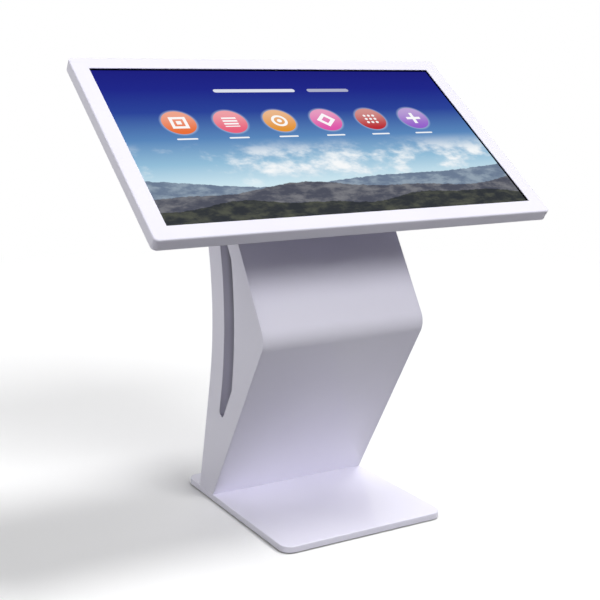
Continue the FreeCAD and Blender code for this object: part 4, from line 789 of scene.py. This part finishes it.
class Maker(Tree):
    # a geometry tree with named inputs for its sizes
    def __init__(self, name, sizes):
        super().__init__(bpy.data.node_groups.new(name, "GeometryNodeTree"))
        interface = self.tree.interface
        interface.new_socket("Geometry", in_out="INPUT", socket_type="NodeSocketGeometry")
        interface.new_socket("Geometry", in_out="OUTPUT", socket_type="NodeSocketGeometry")
        self.keys = {}
        for label, size in sizes.items():
            kind = "NodeSocketInt" if isinstance(size, int) else "NodeSocketFloat"
            socket = interface.new_socket(label, in_out="INPUT", socket_type=kind)
            socket.default_value = size
            self.keys[label] = socket.identifier
        self.given = self.add("NodeGroupInput")
        self.spot = self.add("GeometryNodeInputPosition")

    def named(self, label):
        return self.other(self.given, label)

    def join(self, *parts):
        joined = self.add("GeometryNodeJoinGeometry")
        for part in parts:
            self.tree.links.new(part.socket, joined.socket.node.inputs[0])
        return joined

    def stepped(self, mesh, top, lift, share):
        # one more step of a turned shape: its top face lifted, then drawn in
        values = {"Mesh": mesh, "Selection": top, "Offset Scale": lift, "Individual": False}
        pulled = self.add("GeometryNodeExtrudeMesh", values=values)
        top = self.other(pulled, "Top")
        values = {"Geometry": pulled, "Selection": top, "Scale": share}
        return self.add("GeometryNodeScaleElements", values=values), top

    def closeUp(self, geometry, material):
        whole = self.add("GeometryNodeRealizeInstances", values={"Geometry": geometry})
        smooth = self.add("GeometryNodeSetShadeSmooth", {"domain": "FACE"}, {"Geometry": whole})
        flatter = self.add("GeometryNodeInputMeshEdgeAngle") < smoothBelow
        values = {"Geometry": smooth, "Shade Smooth": flatter}
        smooth = self.add("GeometryNodeSetShadeSmooth", {"domain": "EDGE"}, values)
        values = {"Geometry": smooth, "Material": material}
        dressed = self.add("GeometryNodeSetMaterial", values=values)
        self.add("NodeGroupOutput", values={"Geometry": dressed})


def grown(name, maker, places, sizes, body, slotName, *replaced):
    # points that each face one way, filled by the tree and worked into a plain mesh
    mesh = bpy.data.meshes.new(name)
    mesh.from_pydata([spot for spot, _ in places], [], [])
    facing = mesh.attributes.new("facing", "FLOAT_VECTOR", "POINT")
    facing.data.foreach_set("vector", [share for _, way in places for share in way])
    holder = bpy.data.objects.new(name + "Points", mesh)
    bpy.context.collection.objects.link(holder)
    modifier = holder.modifiers.new("grow", "NODES")
    modifier.node_group = maker.tree
    for label, size in sizes.items():
        modifier[maker.keys[label]] = size
    mesh = baked(holder).data
    bpy.data.objects.remove(holder)
    mesh.polygons.foreach_set("material_index", [0] * len(mesh.polygons))
    mesh.name = name
    return piece(name, mesh, body, slotName, *replaced)


def endsOf(spots):
    return [Vector([pick(spot[i] for spot in spots) for i in range(3)]) for pick in (min, max)]


def islands(name):
    # the separate solids of a node, from a merged copy of its mesh
    built = bmesh.new()
    built.from_mesh(nodes[name].data)
    bmesh.ops.remove_doubles(built, verts=built.verts, dist=0.000001)
    built.verts.index_update()
    seen, groups = set(), []
    for first in built.verts:
        if first.index in seen:
            continue
        seen.add(first.index)
        queue, group = [first], []
        while queue:
            vert = queue.pop()
            group.append(vert)
            for edge in vert.link_edges:
                other = edge.other_vert(vert)
                if other.index not in seen:
                    seen.add(other.index)
                    queue.append(other)
        groups.append(group)
    return built, groups


# cover glass: ground edges, a hair clear of the display
coverLook = {"thick": 0.004, "clear": 0.0002, "edge": 0.0005, "corner": 0.002, "cornerSteps": 3}


def coverGlass(look):
    low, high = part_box("touch_glass")
    middle = (Vector(low) + Vector(high)) / 2
    thick, edge, corner = look["thick"], look["edge"], look["corner"]
    halfTall = ((high[1] - low[1]) - thick * math.sin(headTilt)) / math.cos(headTilt) / 2
    halfWide = (high[0] - low[0]) / 2
    top, bottom = thick / 2, look["clear"] - thick / 2
    built = bmesh.new()
    rings = []
    for level, pull in ((top, edge), (top - edge, 0), (bottom + edge, 0), (bottom, edge)):
        ring = []
        for turn, (signX, signY) in enumerate(((1, -1), (1, 1), (-1, 1), (-1, -1))):
            for step in range(look["cornerSteps"] + 1):
                angle = math.radians(90 * (turn - 1 + step / look["cornerSteps"]))
                acrossX = signX * (halfWide - corner) + (corner - pull) * math.cos(angle)
                alongY = signY * (halfTall - corner) + (corner - pull) * math.sin(angle)
                spot = middle + Vector((acrossX, 0, 0)) + slopeUp * alongY + outward * level
                ring.append(built.verts.new(spot))
        rings.append(ring)
    for upper, lower in zip(rings, rings[1:]):
        for i, vert in enumerate(upper):
            following = (i + 1) % len(upper)
            built.faces.new((vert, lower[i], lower[following], upper[following]))
    built.faces.new(rings[0])
    built.faces.new(list(reversed(rings[-1])))
    piece("coverGlass", fromBmesh("coverGlass", built), "cabinet", "screen_glass", "touch_glass")
    print("cover glass:", round(halfWide * 2, 4), "by", round(halfTall * 2, 4))


coverGlass(coverLook)


# button-head screws on the back of the column and of the head
screwLook = {
    "sides": 24,
    "headRadius": 0.0045,
    "headTall": 0.0024,
    "flange": 0.0007,
    "socket": 0.0015,  # middle of the hexagon to a flat
    "socketDeep": 0.0013,
    "shank": 0.0018,
    "shankLong": 0.01,
    "seed": 7,
}
shankSides = 16
seatShare = 0.86  # width of the rounded head on its flange
# each step of the rounded head: its share of the height, then of the width below it
crownSteps = ((0.5, 0.96), (0.3, 0.88), (0.2, 0.78))
rimShare = 0.7
socketTaper = 0.94


def screwTree():
    tree = Maker("screws", screwLook)
    tall, flange = tree.named("headTall"), tree.named("flange")
    values = {"Vertices": tree.named("sides"), "Radius": tree.named("headRadius"), "Depth": flange}
    rim = tree.add("GeometryNodeMeshCylinder", values=values)
    head, top = tree.stepped(rim, tree.other(rim, "Top"), 0.0, seatShare)
    crown = tall - flange
    for lift, share in crownSteps:
        head, top = tree.stepped(head, top, crown * lift, share)

    # the top face's ring becomes a hexagon, which is then sunk into the head
    head, top = tree.stepped(head, top, 0.0, rimShare)
    x, y, z = tree.axes()
    turn = y.math("ARCTAN2", x)
    sixth = math.pi / 3
    sector = ((turn * (1 / sixth)).math("FRACT") - 0.5) * sixth
    reach = tree.named("socket") / sector.math("COSINE")
    hexagon = tree.vector(turn.math("COSINE") * reach, turn.math("SINE") * reach, z)
    values = {"Geometry": head, "Selection": top, "Position": hexagon}
    head = tree.add("GeometryNodeSetPosition", values=values)
    head, top = tree.stepped(head, top, -tree.named("socketDeep"), socketTaper)
    values = {"Geometry": head, "Translation": tree.vector(0.0, 0.0, flange / 2)}
    head = tree.add("GeometryNodeTransform", values=values)

    shankLong = tree.named("shankLong")
    values = {"Vertices": shankSides, "Radius": tree.named("shank"), "Depth": shankLong}
    shank = tree.add("GeometryNodeMeshCylinder", values=values)
    values = {"Geometry": shank, "Translation": tree.vector(0.0, 0.0, shankLong / -2)}
    shank = tree.add("GeometryNodeTransform", values=values)

    # one screw on each point, along its facing and turned by any amount
    kind = {"data_type": "FLOAT_VECTOR"}
    facing = tree.add("GeometryNodeInputNamedAttribute", kind, {"Name": "facing"})
    aligned = tree.add("FunctionNodeAlignRotationToVector", {"axis": "Z"}, {"Vector": facing})
    values = {2: 0.0, 3: math.tau, "Seed": tree.named("seed")}
    anyTurn = tree.add("FunctionNodeRandomValue", {"data_type": "FLOAT"}, values, output=1)
    values = {"Axis": (0.0, 0.0, 1.0), "Angle": anyTurn}
    spun = tree.add("FunctionNodeAxisAngleToRotation", values=values)
    values = {"Rotation": aligned, "Rotate By": spun}
    turned = tree.add("FunctionNodeRotateRotation", {"rotation_space": "LOCAL"}, values)
    screw = tree.join(head, shank)
    values = {"Points": tree.named("Geometry"), "Instance": screw, "Rotation": turned}
    placed = tree.add("GeometryNodeInstanceOnPoints", values=values)
    tree.closeUp(placed, finishes["fastener_steel"])
    return tree


maker = screwTree()
facesBack = 0.2  # a screw's crown looks at least this much backwards
crownDepth = 0.0003  # points this close to the furthest one belong to the crown


def screwPlaces(name):
    # where each head sits, which way it faces, and how long the shanks are
    built, groups = islands(name)
    places, shankLong = [], 0.0
    for group in groups:
        flats = {}
        for face in {face for vert in group for face in vert.link_faces}:
            if face.normal.y > facesBack:
                key = tuple(round(share, 2) for share in face.normal)
                flats[key] = flats.get(key, 0.0) + face.calc_area()
        way = Vector(max(flats, key=flats.get)).normalized()
        reach = [vert.co.dot(way) for vert in group]
        crown = [vert.co for vert, far in zip(group, reach) if far > max(reach) - crownDepth]
        middle = sum(endsOf(crown), Vector()) / 2
        places.append((middle - way * screwLook["headTall"], way))
        shankLong = max(reach) - min(reach) - screwLook["headTall"]
    built.free()
    return places, shankLong


screwed = {"panelScrewHeads": "rear_panel_screws", "trayScrewHeads": "tray_screws"}
for pieceName, name in screwed.items():
    places, shankLong = screwPlaces(name)
    sizes = {**screwLook, "shankLong": shankLong}
    grown(pieceName, maker, places, sizes, "cabinet", "fastener_steel", name)
    print(pieceName + ":", len(places), "screws, shank", round(shankLong * 1000, 1), "mm")

# two low screws on each hinge leaf, a third of the leaf's height from its middle
leafScrewLook = {
    "headRadius": 0.0029,
    "headTall": 0.0009,
    "flange": 0.0002,
    "socket": 0.001,
    "socketDeep": 0.0006,
    "shank": 0.0014,
    "shankLong": 0.0032,
}
leafShare = 0.31
leafFacesBack = 0.5


def leafPlaces(name):
    # the leaf's widest flat that faces backwards, and a screw above and below its middle
    mesh = nodes[name].data
    flats = {}
    for polygon in mesh.polygons:
        if polygon.normal.y > leafFacesBack:
            key = tuple(round(share, 2) for share in polygon.normal)
            flats.setdefault(key, []).append(polygon)
    flat = max(flats.values(), key=lambda group: sum(polygon.area for polygon in group))
    corners = [mesh.vertices[i].co for polygon in flat for i in polygon.vertices]
    low, high = endsOf(corners)
    middle = (low + high) / 2
    way = flat[0].normal.normalized()
    upward = Vector((0, -way.z, way.y))
    tall = (high.z - low.z) / upward.z
    return [(middle + upward * tall * share, way.copy()) for share in (-leafShare, leafShare)]


sizes = {**screwLook, **leafScrewLook}
for side, body in (("fixed", "cabinet"), ("door", "door")):
    leaves = [f"hinge_leaf_{side}_{level}" for level in ("upper", "lower")]
    places = [place for leaf in leaves for place in leafPlaces(leaf)]
    grown(f"hingeScrews_{side}", maker, places, sizes, body, "fastener_steel")
print("hinge leaves: two screws each")


# floor, world, lamps and camera
stageLook = {
    "floorSize": 30.0,
    "floorLow": 0.0002,  # just under the feet
    "floor": (0.93, 0.93, 0.93),
    "bounce": (0.06, 0.06, 0.065),  # what the floor gives back to the kiosk
    "fadeFrom": 1.7,
    "fadeTo": 4.2,
    "sky": (0.97, 0.975, 1.0),
    "ambient": 0.13,
    "lamps": {  # strength, width in degrees, direction, seen in gloss
        "topLight": (1.8, 18.0, (0.444, -0.107, 0.889), False),
        "frontLight": (1.6, 26.0, (0.18, -0.79, 0.585), True),
        "fillLight": (1.5, 60.0, (-0.95, -0.15, 0.28), False),
        "backLight": (1.7, 50.0, (0.4, 0.9, 0.1), False),
    },
}


def seenRays(tree):
    # 1 for what is looked at, straight on or in a mirror or through glass; 0 for stray light
    path = tree.add("ShaderNodeLightPath")
    rays = [tree.other(path, f"Is {kind} Ray") for kind in ("Camera", "Glossy", "Transmission")]
    return sum(rays[1:], rays[0]).math("MINIMUM", 1.0)


mesh = bpy.data.meshes.new("floor")
half = stageLook["floorSize"] / 2
corners = [(-half, -half, 0), (half, -half, 0), (half, half, 0), (-half, half, 0)]
mesh.from_pydata(corners, [], [(0, 1, 2, 3)])
floor = bpy.data.objects.new("floor", mesh)
bpy.context.collection.objects.link(floor)
floor.location.z = -stageLook["floorLow"]
floor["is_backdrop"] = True

finish = Finish("paleFloor")
x, y, z = finish.axes()
far = finish.ease((x * x + y * y).math("SQRT"), stageLook["fadeFrom"], stageLook["fadeTo"])
seen = seenRays(finish)
colour = finish.mix(seen, stageLook["bounce"], stageLook["floor"])
matt = finish.add("ShaderNodeBsdfDiffuse", values={"Color": colour})
plain = finish.add("ShaderNodeEmission", values={"Color": white, "Strength": 1.0})
shown = finish.add("ShaderNodeMixShader", values={0: far * seen, 1: matt, 2: plain})
floor.data.materials.append(finish.show(shown))

world = bpy.data.worlds.new("studio")
bpy.context.scene.world = world
world.use_nodes = True
world.node_tree.nodes.clear()
studio = Tree(world.node_tree)
values = {"Color": stageLook["sky"], "Strength": stageLook["ambient"]}
soft = studio.add("ShaderNodeBackground", values=values)
plain = studio.add("ShaderNodeBackground", values={"Color": white, "Strength": 1.0})
both = studio.add("ShaderNodeMixShader", values={0: seenRays(studio), 1: soft, 2: plain})
studio.add("ShaderNodeOutputWorld", values={"Surface": both})

for name, (energy, angle, source, glossy) in stageLook["lamps"].items():
    lamp = bpy.data.lights.new(name, "SUN")
    lamp.energy = energy
    lamp.angle = math.radians(angle)
    holder = bpy.data.objects.new(name, lamp)
    holder.rotation_euler = Vector(source).to_track_quat("Z", "Y").to_euler()
    holder.visible_glossy = glossy
    bpy.context.collection.objects.link(holder)

cameraLook = {
    "place": (-1.321, -2.2567, 1.034),
    "heading": 29.79,
    "rise": -11.29,
    "lens": 66.0,
    "sensor": 36.0,
}
heading, rise = math.radians(cameraLook["heading"]), math.radians(cameraLook["rise"])
level = math.cos(rise)
look = Vector((math.sin(heading) * level, math.cos(heading) * level, math.sin(rise)))
camera = bpy.data.objects.new("camera", bpy.data.cameras.new("camera"))
camera.location = cameraLook["place"]
camera.rotation_euler = look.to_track_quat("-Z", "Y").to_euler()
camera.data.lens = cameraLook["lens"]
camera.data.sensor_width = cameraLook["sensor"]
bpy.context.collection.objects.link(camera)
bpy.context.scene.camera = camera
bpy.context.scene.view_settings.view_transform = "Standard"
print("stage: floor, lamps, camera")

sizes = {"cad": [list(corner) for corner in cadBox], "dressed": [list(corner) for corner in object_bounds()]}
